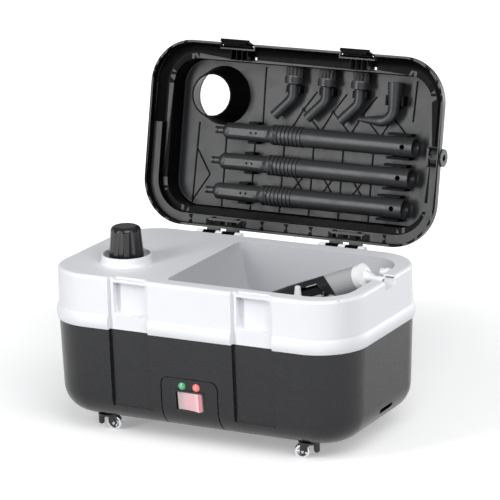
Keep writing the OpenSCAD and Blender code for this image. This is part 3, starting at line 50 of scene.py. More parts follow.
slot_of_node = {s["node"]: s["material_slot"] for s in frame["record"]["subparts"]}
scene = bpy.context.scene
scene.view_settings.view_transform = "Standard"

# The open lid turns about the hinge line at the back of the deck
HINGE = Vector((0.0, 0.137, 0.220))
LID_OPEN = math.radians(-102)
LID_POSE = Matrix.Translation(HINGE) @ Matrix.Rotation(LID_OPEN, 4, "X") @ Matrix.Translation(-HINGE)
# Heights of the lid's inner panel and ledge while the lid is shut
LID_PANEL, LID_LEDGE = 0.278, 0.237
# Half width and half depth beyond which the lid's wall slopes down to its rim
LID_RAISED_X, LID_RAISED_Y = 0.197, 0.1035
# How far a face may lie from a height and still belong to it
FACE_SLACK = 0.0003
# Corners of the space inside the tool bin
BIN_LOW, BIN_HIGH = (-0.0465, -0.1095, 0.12), (0.2065, 0.1005, 0.2243)
# Slanted plane where the gun's grip changes colour, and half the width of the change
GRIP_CUT_NORMAL, GRIP_CUT_AT, GRIP_CUT_BLUR = (0.6959, 0.5147, 0.4999), 0.2027, 0.0005
# Middle brush head while the lid is shut, and the step from one head to the next
BRUSH_ROOT, BRUSH_PITCH = (0.031, -0.088, 0.264), 0.0505


# Camera

def place_camera():
    azimuth, elevation, roll = math.radians(27.53), math.radians(15.09), math.radians(-1.30)
    target, distance, sideways = Vector((0.0312, -0.0168, 0.2499)), 4.044, 0.0013
    back = Vector((math.sin(azimuth) * math.cos(elevation), -math.cos(azimuth) * math.cos(elevation),
                   math.sin(elevation)))
    side = Vector((math.cos(azimuth), math.sin(azimuth), 0.0))
    up = back.cross(side)
    right = math.cos(roll) * side + math.sin(roll) * up
    top = math.cos(roll) * up - math.sin(roll) * side
    lens = bpy.data.cameras.new("photo_camera")
    lens.sensor_width, lens.lens = 36.0, 220.84
    lens.clip_end = 100.0
    camera = bpy.data.objects.new("photo_camera", lens)
    camera.matrix_world = Matrix.Translation(target + right * sideways + back * distance) @ Matrix(
        (right, top, back)).transposed().to_4x4()
    scene.collection.objects.link(camera)
    scene.camera = camera


# Node helpers

def put(tree, kind, **settings):
    node = tree.nodes.new(kind)
    for key, value in settings.items():
        setattr(node, key, value)
    return node


def join(tree, start, end):
    tree.links.new(end, start)


def shader_group(name, inputs, outputs):
    tree = bpy.data.node_groups.new(name, "ShaderNodeTree")
    for label, kind, value in inputs:
        tree.interface.new_socket(label, in_out="INPUT", socket_type=kind).default_value = value
    for label, kind in outputs:
        tree.interface.new_socket(label, in_out="OUTPUT", socket_type=kind)
    return tree, tree.nodes.new("NodeGroupInput"), tree.nodes.new("NodeGroupOutput")


def remap(tree, source, low, high, out_low, out_high):
    node = put(tree, "ShaderNodeMapRange", interpolation_type="SMOOTHSTEP")
    for label, value in (("From Min", low), ("From Max", high), ("To Min", out_low), ("To Max", out_high)):
        node.inputs[label].default_value = value
    join(tree, source, node.inputs["Value"])
    return node.outputs["Result"]


def blend_colours(tree, factor, first, second):
    node = put(tree, "ShaderNodeMix", data_type="RGBA", clamp_factor=True)
    join(tree, factor, node.inputs[0])
    for socket, value in ((node.inputs[6], first), (node.inputs[7], second)):
        if isinstance(value, bpy.types.NodeSocket):
            join(tree, value, socket)
        else:
            socket.default_value = (*value, 1.0)
    return node.outputs[2]


# Shared surface effects

def moulded_grain_group():
    tree, given, made = shader_group(
        "moulded_grain",
        [("Grain Scale", "NodeSocketFloat", 2200.0), ("Cloud Scale", "NodeSocketFloat", 7.0)],
        [("Height", "NodeSocketFloat"), ("Tone", "NodeSocketFloat")])
    place = put(tree, "ShaderNodeTexCoord").outputs["Object"]
    fine = put(tree, "ShaderNodeTexNoise")
    fine.inputs["Detail"].default_value = 2.0
    broad = put(tree, "ShaderNodeTexNoise")
    broad.inputs["Detail"].default_value = 3.0
    for node, label in ((fine, "Grain Scale"), (broad, "Cloud Scale")):
        join(tree, place, node.inputs["Vector"])
        join(tree, given.outputs[label], node.inputs["Scale"])
    join(tree, fine.outputs["Fac"], made.inputs["Height"])
    join(tree, remap(tree, broad.outputs["Fac"], 0.3, 0.7, 0.0, 1.0), made.inputs["Tone"])
    return tree


def handling_marks_group():
    tree, given, made = shader_group(
        "handling_marks", [("Mark Scale", "NodeSocketFloat", 28.0)], [("Mask", "NodeSocketFloat")])
    place = put(tree, "ShaderNodeTexCoord").outputs["Object"]
    smear = put(tree, "ShaderNodeTexNoise")
    smear.inputs["Detail"].default_value = 5.0
    smear.inputs["Distortion"].default_value = 1.6
    join(tree, place, smear.inputs["Vector"])
    join(tree, given.outputs["Mark Scale"], smear.inputs["Scale"])
    join(tree, remap(tree, smear.outputs["Fac"], 0.42, 0.68, 0.0, 1.0), made.inputs["Mask"])
    return tree


# Edges drift toward a mid grey: partly rubbed wear and, on the dark plastics, partly a painted highlight
# along the edges
def wear_and_highlight_edges_group():
    tree, given, made = shader_group(
        "wear_and_highlight_edges",
        [("Width", "NodeSocketFloat", 0.0012), ("Strength", "NodeSocketFloat", 0.5)],
        [("Mask", "NodeSocketFloat")])
    soft = put(tree, "ShaderNodeBevel", samples=4)
    join(tree, given.outputs["Width"], soft.inputs["Radius"])
    facing = put(tree, "ShaderNodeVectorMath", operation="DOT_PRODUCT")
    join(tree, soft.outputs["Normal"], facing.inputs[0])
    join(tree, put(tree, "ShaderNodeNewGeometry").outputs["Normal"], facing.inputs[1])
    edge = remap(tree, facing.outputs["Value"], 0.985, 0.86, 0.0, 1.0)
    patchy = put(tree, "ShaderNodeTexNoise")
    patchy.inputs["Scale"].default_value = 60.0
    join(tree, put(tree, "ShaderNodeTexCoord").outputs["Object"], patchy.inputs["Vector"])
    some = put(tree, "ShaderNodeMath", operation="MULTIPLY")
    join(tree, edge, some.inputs[0])
    join(tree, remap(tree, patchy.outputs["Fac"], 0.3, 0.65, 0.35, 1.0), some.inputs[1])
    much = put(tree, "ShaderNodeMath", operation="MULTIPLY", use_clamp=True)
    join(tree, some.outputs[0], much.inputs[0])
    join(tree, given.outputs["Strength"], much.inputs[1])
    join(tree, much.outputs[0], made.inputs["Mask"])
    return tree


def settled_dust_group():
    tree, given, made = shader_group(
        "settled_dust", [("Amount", "NodeSocketFloat", 0.1)], [("Mask", "NodeSocketFloat")])
    upward = put(tree, "ShaderNodeSeparateXYZ")
    join(tree, put(tree, "ShaderNodeNewGeometry").outputs["Normal"], upward.inputs[0])
    flat = remap(tree, upward.outputs["Z"], 0.55, 0.95, 0.0, 1.0)
    specks = put(tree, "ShaderNodeTexNoise")
    specks.inputs["Scale"].default_value = 420.0
    specks.inputs["Detail"].default_value = 4.0
    join(tree, put(tree, "ShaderNodeTexCoord").outputs["Object"], specks.inputs["Vector"])
    lies = put(tree, "ShaderNodeMath", operation="MULTIPLY")
    join(tree, flat, lies.inputs[0])
    join(tree, remap(tree, specks.outputs["Fac"], 0.5, 0.72, 0.0, 1.0), lies.inputs[1])
    much = put(tree, "ShaderNodeMath", operation="MULTIPLY", use_clamp=True)
    join(tree, lies.outputs[0], much.inputs[0])
    join(tree, given.outputs["Amount"], much.inputs[1])
    join(tree, much.outputs[0], made.inputs["Mask"])
    return tree


GRAIN = moulded_grain_group()
MARKS = handling_marks_group()
EDGES = wear_and_highlight_edges_group()
DUST = settled_dust_group()


def use_group(tree, group, **values):
    node = put(tree, "ShaderNodeGroup", node_tree=group)
    for label, value in values.items():
        node.inputs[label.replace("_", " ")].default_value = value
    return node


# Finishes

def shade(colour, factor):
    return tuple(min(1.0, c * factor) for c in colour)


def new_finish(name):
    finish = bpy.data.materials.new(name)
    finish.use_nodes = True
    tree = finish.node_tree
    return finish, tree, tree.nodes["Principled BSDF"]


def surface_layers(tree, skin, tone, grain_node, pale, rub, dust, relief):
    edge = use_group(tree, EDGES, Strength=rub)
    # Edges take the pale colour: partly wear, partly a painted highlight along edges
    edge_wear_and_highlight = blend_colours(tree, edge.outputs["Mask"], tone, pale)
    specks = use_group(tree, DUST, Amount=dust)
    dusty = blend_colours(tree, specks.outputs["Mask"], edge_wear_and_highlight, (0.55, 0.54, 0.52))
    join(tree, dusty, skin.inputs["Base Color"])
    bump = put(tree, "ShaderNodeBump")
    bump.inputs["Strength"].default_value = 0.6
    bump.inputs["Distance"].default_value = relief
    join(tree, grain_node.outputs["Height"], bump.inputs["Height"])
    join(tree, bump.outputs["Normal"], skin.inputs["Normal"])


def moulded_plastic(name, colour, roughness, grain=2200.0, relief=0.00003, clouding=0.05, rub=0.25,
                    dust=0.04, gloss=0.5):
    finish, tree, skin = new_finish(name)
    skin.inputs["Specular IOR Level"].default_value = gloss
    grain_node = use_group(tree, GRAIN, Grain_Scale=grain)
    tone = blend_colours(tree, grain_node.outputs["Tone"],
                         shade(colour, 1 - clouding), shade(colour, 1 + clouding))
    # The edge colour lies toward a mid grey; on dark plastics it paints a highlight along edges as well as
    # wear
    pale = tuple(c + (0.6 - c) * 0.35 * rub for c in colour)
    surface_layers(tree, skin, tone, grain_node, pale, rub, dust, relief)
    marks = use_group(tree, MARKS)
    join(tree, remap(tree, marks.outputs["Mask"], 0.0, 1.0, roughness - 0.015, roughness + 0.03),
         skin.inputs["Roughness"])
    return finish


# Rear colour beyond a slanted plane through the gun, front colour before it
def two_tone_grip(name, rear, front, roughness):
    finish, tree, skin = new_finish(name)
    side = put(tree, "ShaderNodeVectorMath", operation="DOT_PRODUCT")
    side.inputs[1].default_value = GRIP_CUT_NORMAL
    join(tree, put(tree, "ShaderNodeTexCoord").outputs["Object"], side.inputs[0])
    part = remap(tree, side.outputs["Value"], GRIP_CUT_AT - GRIP_CUT_BLUR, GRIP_CUT_AT + GRIP_CUT_BLUR,
                 0.0, 1.0)
    grain_node = use_group(tree, GRAIN)
    cloud = blend_colours(tree, grain_node.outputs["Tone"], shade(rear, 0.97), shade(rear, 1.03))
    tone = blend_colours(tree, part, front, cloud)
    surface_layers(tree, skin, tone, grain_node, rear, rub=0.1, dust=0.02, relief=0.00003)
    marks = use_group(tree, MARKS)
    join(tree, remap(tree, marks.outputs["Mask"], 0.0, 1.0, roughness - 0.015, roughness + 0.03),
         skin.inputs["Roughness"])
    return finish


def worked_metal(name, colour, roughness, stretch, relief=0.00001):
    finish, tree, skin = new_finish(name)
    skin.inputs["Metallic"].default_value = 1.0
    place = put(tree, "ShaderNodeMapping")
    place.inputs["Scale"].default_value = stretch
    join(tree, put(tree, "ShaderNodeTexCoord").outputs["Object"], place.inputs["Vector"])
    lines = put(tree, "ShaderNodeTexNoise")
    lines.inputs["Scale"].default_value = 300.0
    lines.inputs["Detail"].default_value = 4.0
    join(tree, place.outputs["Vector"], lines.inputs["Vector"])
    marks = use_group(tree, MARKS, Mark_Scale=60.0)
    dulled = blend_colours(tree, marks.outputs["Mask"], colour, shade(colour, 0.86))
    join(tree, dulled, skin.inputs["Base Color"])
    join(tree, remap(tree, lines.outputs["Fac"], 0.3, 0.7, roughness * 0.8, roughness * 1.3),
         skin.inputs["Roughness"])
    bump = put(tree, "ShaderNodeBump")
    bump.inputs["Strength"].default_value = 0.4
    bump.inputs["Distance"].default_value = relief
    join(tree, lines.outputs["Fac"], bump.inputs["Height"])
    join(tree, bump.outputs["Normal"], skin.inputs["Normal"])
    return finish


def tinted_lens(name, core, rim, centre):
    finish, tree, skin = new_finish(name)
    skin.inputs["Roughness"].default_value = 0.12
    skin.inputs["Coat Weight"].default_value = 0.6
    skin.inputs["Emission Strength"].default_value = 0.25
    place = put(tree, "ShaderNodeMapping")
    place.inputs["Location"].default_value = tuple(-c for c in centre)
    join(tree, put(tree, "ShaderNodeTexCoord").outputs["Object"], place.inputs["Vector"])
    reach = put(tree, "ShaderNodeVectorMath", operation="LENGTH")
    join(tree, place.outputs["Vector"], reach.inputs[0])
    ring = remap(tree, reach.outputs["Value"], 0.0015, 0.0058, 0.0, 1.0)
    glow = blend_colours(tree, ring, core, rim)
    join(tree, glow, skin.inputs["Base Color"])
    join(tree, glow, skin.inputs["Emission Color"])
    facets = put(tree, "ShaderNodeTexVoronoi")
    facets.inputs["Scale"].default_value = 900.0
    join(tree, put(tree, "ShaderNodeTexCoord").outputs["Object"], facets.inputs["Vector"])
    bump = put(tree, "ShaderNodeBump")
    bump.inputs["Strength"].default_value = 0.25
    bump.inputs["Distance"].default_value = 0.0002
    join(tree, facets.outputs["Distance"], bump.inputs["Height"])
    join(tree, bump.outputs["Normal"], skin.inputs["Normal"])
    return finish


def rocker_paddle(name, centre_x):
    finish, tree, skin = new_finish(name)
    skin.inputs["Coat Weight"].default_value = 0.7
    skin.inputs["Coat Roughness"].default_value = 0.06
    skin.inputs["Emission Strength"].default_value = 0.12
    place = put(tree, "ShaderNodeSeparateXYZ")
    join(tree, put(tree, "ShaderNodeTexCoord").outputs["Object"], place.inputs[0])
    # The ramp across the paddle paints shade on its greyer, darker left side and a painted highlight near
    # its right edge beside a red line; the pink in between is the paddle's own tint, and the paddle glows
    # faintly in these colours
    ramp = put(tree, "ShaderNodeValToRGB")
    stops = ((0.0, (0.42, 0.34, 0.35)), (0.24, (0.55, 0.42, 0.43)), (0.3, (0.72, 0.42, 0.46)),
             (0.72, (0.78, 0.46, 0.50)), (0.86, (0.95, 0.62, 0.66)), (0.91, (0.78, 0.16, 0.2)),
             (0.96, (0.9, 0.55, 0.6)))
    ramp.color_ramp.elements[0].position, ramp.color_ramp.elements[0].color = 0.0, (*stops[0][1], 1.0)
    ramp.color_ramp.elements[1].position, ramp.color_ramp.elements[1].color = 0.96, (*stops[-1][1], 1.0)
    for position, colour in stops[1:-1]:
        ramp.color_ramp.elements.new(position).color = (*colour, 1.0)
    across = put(tree, "ShaderNodeMapRange")
    across.inputs["From Min"].default_value = centre_x - 0.019
    across.inputs["From Max"].default_value = centre_x + 0.019
    join(tree, place.outputs["X"], across.inputs["Value"])
    join(tree, across.outputs["Result"], ramp.inputs["Fac"])
    join(tree, ramp.outputs["Color"], skin.inputs["Base Color"])
    join(tree, ramp.outputs["Color"], skin.inputs["Emission Color"])
    marks = use_group(tree, MARKS, Mark_Scale=180.0)
    join(tree, remap(tree, marks.outputs["Mask"], 0.0, 1.0, 0.14, 0.26), skin.inputs["Roughness"])
    return finish


def make_finishes():
    low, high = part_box("lamp_green")
    green_at = (low + high) / 2
    low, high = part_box("lamp_red")
    red_at = (low + high) / 2
    low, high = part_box("rocker")
    return {
        "base_plastic": moulded_plastic("charcoal_casing", (0.011, 0.0115, 0.013), 0.27, gloss=0.4),
        "deck_plastic": moulded_plastic("pale_casing", (0.80, 0.81, 0.84),
                                        0.42, clouding=0.012, rub=0.2, dust=0.02),
        "lid_plastic": moulded_plastic("polished_lid", (0.0025, 0.0025, 0.0027),
                                       0.3, gloss=0.04, rub=0.05, dust=0.01),
        # The lid's panel, ledge and outer sides get the lid's own plastic about nine times lighter: painted
        # light for the light these faces catch; the finer grain is their own
        "lid_panel": moulded_plastic("lid_painted_light", (0.023, 0.024, 0.026),
                                     0.38, grain=2600.0, gloss=0.42, rub=0.1),
        # The tool bin's walls and floor, one moulding with the deck, get the deck's pale plastic made
        # darker: painted shade for the shade inside the bin
        "bin_plastic": moulded_plastic("bin_painted_shade", (0.52, 0.53, 0.555),
                                       0.55, clouding=0.012, rub=0.1, dust=0.02),
        "gloss_black": moulded_plastic("polished_black", (0.012, 0.012, 0.013),
                                       0.2, grain=900.0, relief=0.00001),
        "tool_plastic": moulded_plastic("dark_tool", (0.026, 0.027, 0.029), 0.36, gloss=0.5),
        "gun_plastic": moulded_plastic("grey_grip", (0.36, 0.364, 0.375), 0.3),
        "gun_sides": two_tone_grip("two_tone_grip", (0.42, 0.425, 0.435),
                                   (0.012, 0.012, 0.013), 0.3),
        "bristle": moulded_plastic("nylon_bristle", (0.06, 0.06, 0.062), 0.4, grain=3000.0),
        "white_plastic": moulded_plastic("polished_white", (0.86, 0.86, 0.87),
                                         0.25, clouding=0.01, rub=0.05, dust=0.01),
        "caster_black": moulded_plastic("caster_frame", (0.018, 0.018, 0.019), 0.3),
        "ceramic": moulded_plastic("bare_ceramic", (0.70, 0.67, 0.61),
                                   0.7, grain=1500.0, relief=0.00006, gloss=0.3),
        "seal": moulded_plastic("red_rubber", (0.26, 0.07, 0.05), 0.7, gloss=0.3),
        "rocker_red": rocker_paddle("tinted_paddle_painted_light", (low.x + high.x) / 2),
        "lens_green": tinted_lens("green_lens", (0.16, 0.62, 0.30), (0.02, 0.22, 0.09), green_at),
        "lens_red": tinted_lens("red_lens", (0.95, 0.38, 0.30), (0.72, 0.10, 0.10), red_at),
        "chrome": worked_metal("bright_plating", (0.82, 0.83, 0.85), 0.09, (1.0, 1.0, 1.0)),
        "steel": worked_metal("drawn_steel", (0.56, 0.57, 0.59), 0.28, (1.0, 1.0, 12.0)),
        "brass": worked_metal("turned_brass", (0.72, 0.52, 0.20), 0.25, (1.0, 1.0, 10.0)),
    }


# Skins: softened copies of the solids that show

def plain_mesh(piece, name):
    piece_eval = piece.evaluated_get(bpy.context.evaluated_depsgraph_get())
    mesh = bpy.data.meshes.new_from_object(piece_eval, preserve_all_data_layers=True,
                                           depsgraph=bpy.context.evaluated_depsgraph_get())
    mesh.name = name
    piece.modifiers.clear()
    old = piece.data
    piece.data = mesh
    bpy.data.meshes.remove(old)
    return piece


# Picks the lid faces that take the lighter painted-light copy of the lid plastic
def lid_panel_face(centre, normal):
    shut = LID_POSE.inverted() @ centre
    out = LID_POSE.inverted().to_3x3() @ normal
    beyond = max(abs(shut.x) - LID_RAISED_X, abs(shut.y) - LID_RAISED_Y) > 0
    outside = beyond and shut.x * out.x + shut.y * out.y > 0
    return outside or shut.z > LID_PANEL - FACE_SLACK or abs(shut.z - LID_LEDGE) < FACE_SLACK


# Picks the deck faces inside the tool bin, which take the darker painted-shade copy of the deck plastic
def bin_face(centre, normal):
    return all(low < at < high for low, at, high in zip(BIN_LOW, centre, BIN_HIGH))


def skin_of(node, finish, rounding=0.0005, turns=2, sharp=38.0, second=None, belongs=None):
    bm = bmesh.new()
    bm.from_mesh(nodes[node].data)
    bmesh.ops.remove_doubles(bm, verts=bm.verts, dist=2e-6)
    if node not in KEEP_FACETS:
        bmesh.ops.dissolve_limit(bm, angle_limit=math.radians(0.6), verts=bm.verts, edges=bm.edges)
    mesh = bpy.data.meshes.new(node + "_skin")
    bm.to_mesh(mesh)
    bm.free()
    mesh.materials.clear()
    mesh.materials.append(finish)
    if second:
        mesh.materials.append(second)
        for face in mesh.polygons:
            face.material_index = 1 if belongs(face.center, face.normal) else 0
    mesh.shade_smooth()
    mesh.set_sharp_from_angle(angle=math.radians(sharp))
    piece = bpy.data.objects.new(node + "_skin", mesh)
    scene.collection.objects.link(piece)
    if rounding:
        edge = piece.modifiers.new("softened", "BEVEL")
        edge.limit_method, edge.angle_limit = "ANGLE", math.radians(sharp)
        edge.width, edge.segments = rounding, turns
        edge.use_clamp_overlap = True
        edge.miter_outer = "MITER_ARC"
    even = piece.modifiers.new("even", "WEIGHTED_NORMAL")
    even.keep_sharp = True
    plain_mesh(piece, node + "_skin")
    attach(piece, body_of_node[node])
    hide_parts(node)
    return piece


# Bristle crowns grown by Geometry Nodes

def bristle_tree():
    tree = bpy.data.node_groups.new("bristle_crown", "GeometryNodeTree")
    face = tree.interface
    face.new_socket("Geometry", in_out="INPUT", socket_type="NodeSocketGeometry")
    sockets = {}
    for label, kind, value in (("Tufts", "NodeSocketInt", 12), ("Ring Radius", "NodeSocketFloat", 0.0095),
                               ("Strands", "NodeSocketInt", 16), ("Tuft Radius", "NodeSocketFloat", 0.0016),
                               ("Length", "NodeSocketFloat", 0.012),
                               ("Strand Radius", "NodeSocketFloat", 0.0003),
                               ("Seed", "NodeSocketInt", 3)):
        socket = face.new_socket(label, in_out="INPUT", socket_type=kind)
        socket.default_value = value
        sockets[label] = socket.identifier
    finish_socket = face.new_socket("Finish", in_out="INPUT", socket_type="NodeSocketMaterial")
    sockets["Finish"] = finish_socket.identifier
    face.new_socket("Geometry", in_out="OUTPUT", socket_type="NodeSocketGeometry")
    given, made = tree.nodes.new("NodeGroupInput"), tree.nodes.new("NodeGroupOutput")
    strand = put(tree, "GeometryNodeMeshCone", fill_type="NGON")
    strand.inputs["Vertices"].default_value = 6
    strand.inputs["Side Segments"].default_value = 1
    join(tree, given.outputs["Length"], strand.inputs["Depth"])
    join(tree, given.outputs["Strand Radius"], strand.inputs["Radius Bottom"])
    tip = put(tree, "ShaderNodeMath", operation="MULTIPLY")
    tip.inputs[1].default_value = 0.7
    join(tree, given.outputs["Strand Radius"], tip.inputs[0])
    join(tree, tip.outputs[0], strand.inputs["Radius Top"])
    # Strands of one tuft stand on scattered points of a small disc
    dots = put(tree, "GeometryNodePoints")
    join(tree, given.outputs["Strands"], dots.inputs["Count"])
    angle = put(tree, "FunctionNodeRandomValue", data_type="FLOAT")
    angle.inputs[3].default_value = 2 * math.pi
    join(tree, given.outputs["Seed"], angle.inputs["Seed"])
    share = put(tree, "FunctionNodeRandomValue", data_type="FLOAT")
    reseed = put(tree, "ShaderNodeMath", operation="ADD")
    reseed.inputs[1].default_value = 11.0
    join(tree, given.outputs["Seed"], reseed.inputs[0])
    join(tree, reseed.outputs[0], share.inputs["Seed"])
    root = put(tree, "ShaderNodeMath", operation="SQRT")
    join(tree, share.outputs[1], root.inputs[0])
    reach = put(tree, "ShaderNodeMath", operation="MULTIPLY")
    join(tree, root.outputs[0], reach.inputs[0])
    join(tree, given.outputs["Tuft Radius"], reach.inputs[1])
    spot = put(tree, "ShaderNodeCombineXYZ")
    for operation, end in (("COSINE", "X"), ("SINE", "Y")):
        turn = put(tree, "ShaderNodeMath", operation=operation)
        join(tree, angle.outputs[1], turn.inputs[0])
        size = put(tree, "ShaderNodeMath", operation="MULTIPLY")
        join(tree, turn.outputs[0], size.inputs[0])
        join(tree, reach.outputs[0], size.inputs[1])
        join(tree, size.outputs[0], spot.inputs[end])
    join(tree, spot.outputs[0], dots.inputs["Position"])
    tuft = put(tree, "GeometryNodeInstanceOnPoints")
    join(tree, dots.outputs[0], tuft.inputs["Points"])
    join(tree, strand.outputs["Mesh"], tuft.inputs["Instance"])
    # Each strand splays outward a little, in step with its distance from the tuft's middle
    lean = put(tree, "ShaderNodeCombineXYZ")
    apart = put(tree, "ShaderNodeSeparateXYZ")
    join(tree, spot.outputs[0], apart.inputs[0])
    for source, end, gain in (("Y", "X", -38.0), ("X", "Y", 38.0)):
        tilt = put(tree, "ShaderNodeMath", operation="MULTIPLY")
        tilt.inputs[1].default_value = gain
        join(tree, apart.outputs[source], tilt.inputs[0])
        join(tree, tilt.outputs[0], lean.inputs[end])
    join(tree, lean.outputs[0], tuft.inputs["Rotation"])
    # Tufts stand on a ring
    ring = put(tree, "GeometryNodeMeshCircle")
    join(tree, given.outputs["Tufts"], ring.inputs["Vertices"])
    join(tree, given.outputs["Ring Radius"], ring.inputs["Radius"])
    crown = put(tree, "GeometryNodeInstanceOnPoints")
    join(tree, ring.outputs["Mesh"], crown.inputs["Points"])
    join(tree, tuft.outputs[0], crown.inputs["Instance"])
    spin = put(tree, "FunctionNodeRandomValue", data_type="FLOAT_VECTOR")
    spin.inputs[0].default_value = (0.0, 0.0, 0.0)
    spin.inputs[1].default_value = (0.0, 0.0, 2 * math.pi)
    join(tree, given.outputs["Seed"], spin.inputs["Seed"])
    join(tree, spin.outputs[0], crown.inputs["Rotation"])
    solid = put(tree, "GeometryNodeRealizeInstances")
    join(tree, crown.outputs[0], solid.inputs[0])
    paint = put(tree, "GeometryNodeSetMaterial")
    join(tree, solid.outputs[0], paint.inputs["Geometry"])
    join(tree, given.outputs["Finish"], paint.inputs["Material"])
    join(tree, paint.outputs[0], made.inputs[0])
    return tree, sockets


def grow(name, tree, sockets, values, place):
    piece = bpy.data.objects.new(name, bpy.data.meshes.new(name))
    scene.collection.objects.link(piece)
    grower = piece.modifiers.new("grown", "NODES")
    grower.node_group = tree
    for label, value in values.items():
        grower[sockets[label]] = value
    plain_mesh(piece, name)
    piece.data.transform(place)
    return piece


def merge_pieces(name, pieces, finish):
    bm = bmesh.new()
    for piece in pieces:
        bm.from_mesh(piece.data)
    for face in bm.faces:
        face.material_index = 0
    mesh = bpy.data.meshes.new(name)
    bm.to_mesh(mesh)
    bm.free()
    mesh.materials.append(finish)
    merged = bpy.data.objects.new(name, mesh)
    scene.collection.objects.link(merged)
    for piece in pieces:
        old = piece.data
        bpy.data.objects.remove(piece)
        bpy.data.meshes.remove(old)
    return merged


def backing_disc(name, radius, depth, place, finish):
    bm = bmesh.new()
    bmesh.ops.create_cone(bm, cap_ends=True, segments=48, radius1=radius, radius2=radius - 0.0004,
                          depth=depth)
    bmesh.ops.translate(bm, verts=bm.verts, vec=(0, 0, depth / 2))
    mesh = bpy.data.meshes.new(name)
    bm.to_mesh(mesh)
    bm.free()
    mesh.materials.append(finish)
    mesh.transform(place)
    piece = bpy.data.objects.new(name, mesh)
    scene.collection.objects.link(piece)
    return piece


def make_bristles(finish):
    tree, sockets = bristle_tree()
    for k in range(3):
        root = Vector(BRUSH_ROOT) + Vector(((k - 1) * BRUSH_PITCH, 0.0, 0.0))
        place = LID_POSE @ Matrix.Translation(root) @ Matrix.Rotation(math.radians(90), 4, "X")
        stand = Matrix.Translation((0.0, 0.0, 0.0017))
        rings = []
        for label, tufts, radius in (("outer", 12, 0.0096), ("inner", 5, 0.0046)):
            rings.append(grow(f"bristle_{label}_{k + 1}", tree, sockets, {
                "Tufts": tufts, "Ring Radius": radius, "Strands": 16, "Tuft Radius": 0.0015,
                "Length": 0.0120, "Strand Radius": 0.00032, "Seed": 3 + k, "Finish": finish}, place @ stand))
        rings.append(backing_disc(f"bristle_back_{k + 1}", 0.0121, 0.002, place, finish))
        crown = merge_pieces(f"bristle_crown_{k + 1}", rings, finish)
        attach(crown, f"brush_{k + 1}")
        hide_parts(f"bristles_{k + 1}")


# Floor, world and lamps

def studio_floor():
    bm = bmesh.new()
    bmesh.ops.create_grid(bm, x_segments=1, y_segments=1, size=20.0)
    mesh = bpy.data.meshes.new("studio_floor")
    bm.to_mesh(mesh)
    bm.free()
    floor = bpy.data.objects.new("studio_floor", mesh)
    scene.collection.objects.link(floor)
    paper = bpy.data.materials.new("floor_paper")
    paper.use_nodes = True
    tree = paper.node_tree
    tree.nodes.clear()
    out = put(tree, "ShaderNodeOutputMaterial")
    matte = put(tree, "ShaderNodeBsdfDiffuse")
    matte.inputs["Color"].default_value = (0.88, 0.88, 0.885, 1.0)
    # The floor's glow is weak near the object and strong further out: painted shade around the object and
    # painted light on the far floor
    painted_floor_glow = put(tree, "ShaderNodeEmission")
    reach = put(tree, "ShaderNodeVectorMath", operation="LENGTH")
    join(tree, put(tree, "ShaderNodeTexCoord").outputs["Object"], reach.inputs[0])
    join(tree, remap(tree, reach.outputs["Value"], 0.35, 1.4, 0.28, 0.85), painted_floor_glow.inputs["Strength"])
    both = put(tree, "ShaderNodeAddShader")
    join(tree, matte.outputs[0], both.inputs[0])
    join(tree, painted_floor_glow.outputs[0], both.inputs[1])
    path = put(tree, "ShaderNodeLightPath")
    seen = put(tree, "ShaderNodeMath", operation="MAXIMUM")
    join(tree, path.outputs["Is Camera Ray"], seen.inputs[0])
    join(tree, path.outputs["Is Glossy Ray"], seen.inputs[1])
    also = put(tree, "ShaderNodeMath", operation="MAXIMUM")
    join(tree, seen.outputs[0], also.inputs[0])
    join(tree, path.outputs["Is Transmission Ray"], also.inputs[1])
    dim = put(tree, "ShaderNodeBsdfDiffuse")
    dim.inputs["Color"].default_value = (0.45, 0.45, 0.455, 1.0)
    pick = put(tree, "ShaderNodeMixShader")
    join(tree, also.outputs[0], pick.inputs[0])
    join(tree, dim.outputs[0], pick.inputs[1])
    join(tree, both.outputs[0], pick.inputs[2])
    join(tree, pick.outputs[0], out.inputs["Surface"])
    mesh.materials.append(paper)


def softbox(name, azimuth, elevation, distance, width, height, watts):
    lamp = bpy.data.lights.new(name, "AREA")
    lamp.shape, lamp.size, lamp.size_y, lamp.energy = "RECTANGLE", width, height, watts
    azimuth, elevation = math.radians(azimuth), math.radians(elevation)
    back = Vector((math.sin(azimuth) * math.cos(elevation), -math.cos(azimuth) * math.cos(elevation),
                   math.sin(elevation)))
    box = bpy.data.objects.new(name, lamp)
    box.matrix_world = Matrix.Translation(Vector((0, 0, 0.2)) + back * distance) @ back.to_track_quat(
        "Z", "Y").to_matrix().to_4x4()
    scene.collection.objects.link(box)


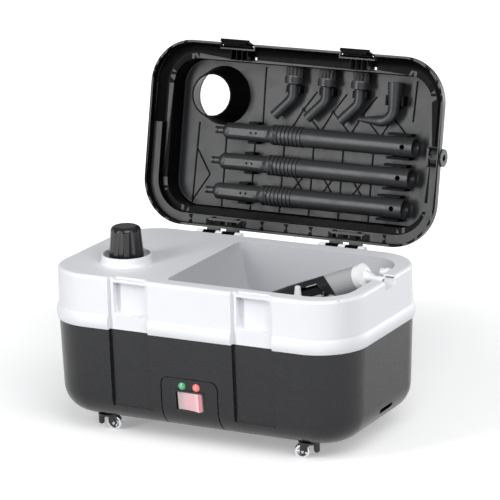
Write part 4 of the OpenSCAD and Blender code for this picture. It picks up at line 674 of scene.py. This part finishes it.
def studio_light():
    world = bpy.data.worlds.new("studio_air")
    world.use_nodes = True
    world.node_tree.nodes["Background"].inputs["Color"].default_value = (0.96, 0.98, 1.0, 1.0)
    world.node_tree.nodes["Background"].inputs["Strength"].default_value = 0.25
    scene.world = world
    softbox("key_softbox", azimuth=-27, elevation=22, distance=2.6, width=0.55, height=2.2, watts=40)
    softbox("side_softbox", azimuth=145, elevation=10, distance=3.0, width=1.6, height=1.2, watts=36)
    softbox("fill_softbox", azimuth=46, elevation=42, distance=3.2, width=2.4, height=2.4, watts=74)


place_camera()
studio_floor()
studio_light()
finishes = make_finishes()

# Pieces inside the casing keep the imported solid's own mesh
HIDDEN_INSIDE = ["hinge_pins", "latch_pins", "boiler_tank", "boiler_mounts", "filler_neck", "cap_plug",
                 "cap_seal", "heating_element", "ceramic_fittings", "pressure_switch", "steam_valve",
                 "steam_pipe", "case_screws", "trigger_pin"]
for node, piece in nodes.items():
    piece.data.materials.clear()
    piece.data.materials.append(finishes[slot_of_node[node]])

SOFT_FORMS = {"bristles_1", "bristles_2", "bristles_3"}
ROUNDING = {"base_shell": 0.0006, "deck_shell": 0.0006, "lid_shell": 0.0003, "rocker": 0.0006}
# Solids whose flat faces hold holes stay in triangles
KEEP_FACETS = {"deck_shell", "base_shell", "lid_shell"}
# Shells that carry a second finish, and the rule that picks its faces
# On the lid, the second finish paints light on the panel, ledge and outer sides
SECOND_FINISH = {"lid_shell": (finishes["lid_panel"], lid_panel_face),
                 # In the deck, the second finish paints shade inside the tool bin
                 "deck_shell": (finishes["bin_plastic"], bin_face)}
# Pieces whose finish is not the usual one of their slot
OWN_FINISH = {"gun_shell": "gun_sides", "hose_stem": "white_plastic", "tube_button_1": "tool_plastic",
              "tube_button_2": "tool_plastic", "tube_button_3": "tool_plastic"}
for node in nodes:
    if node not in SOFT_FORMS and node not in HIDDEN_INSIDE:
        second, belongs = SECOND_FINISH.get(node, (None, None))
        finish = finishes[OWN_FINISH.get(node, slot_of_node[node])]
        skin_of(node, finish, ROUNDING.get(node, 0.0004), second=second, belongs=belongs)

make_bristles(finishes["bristle"])
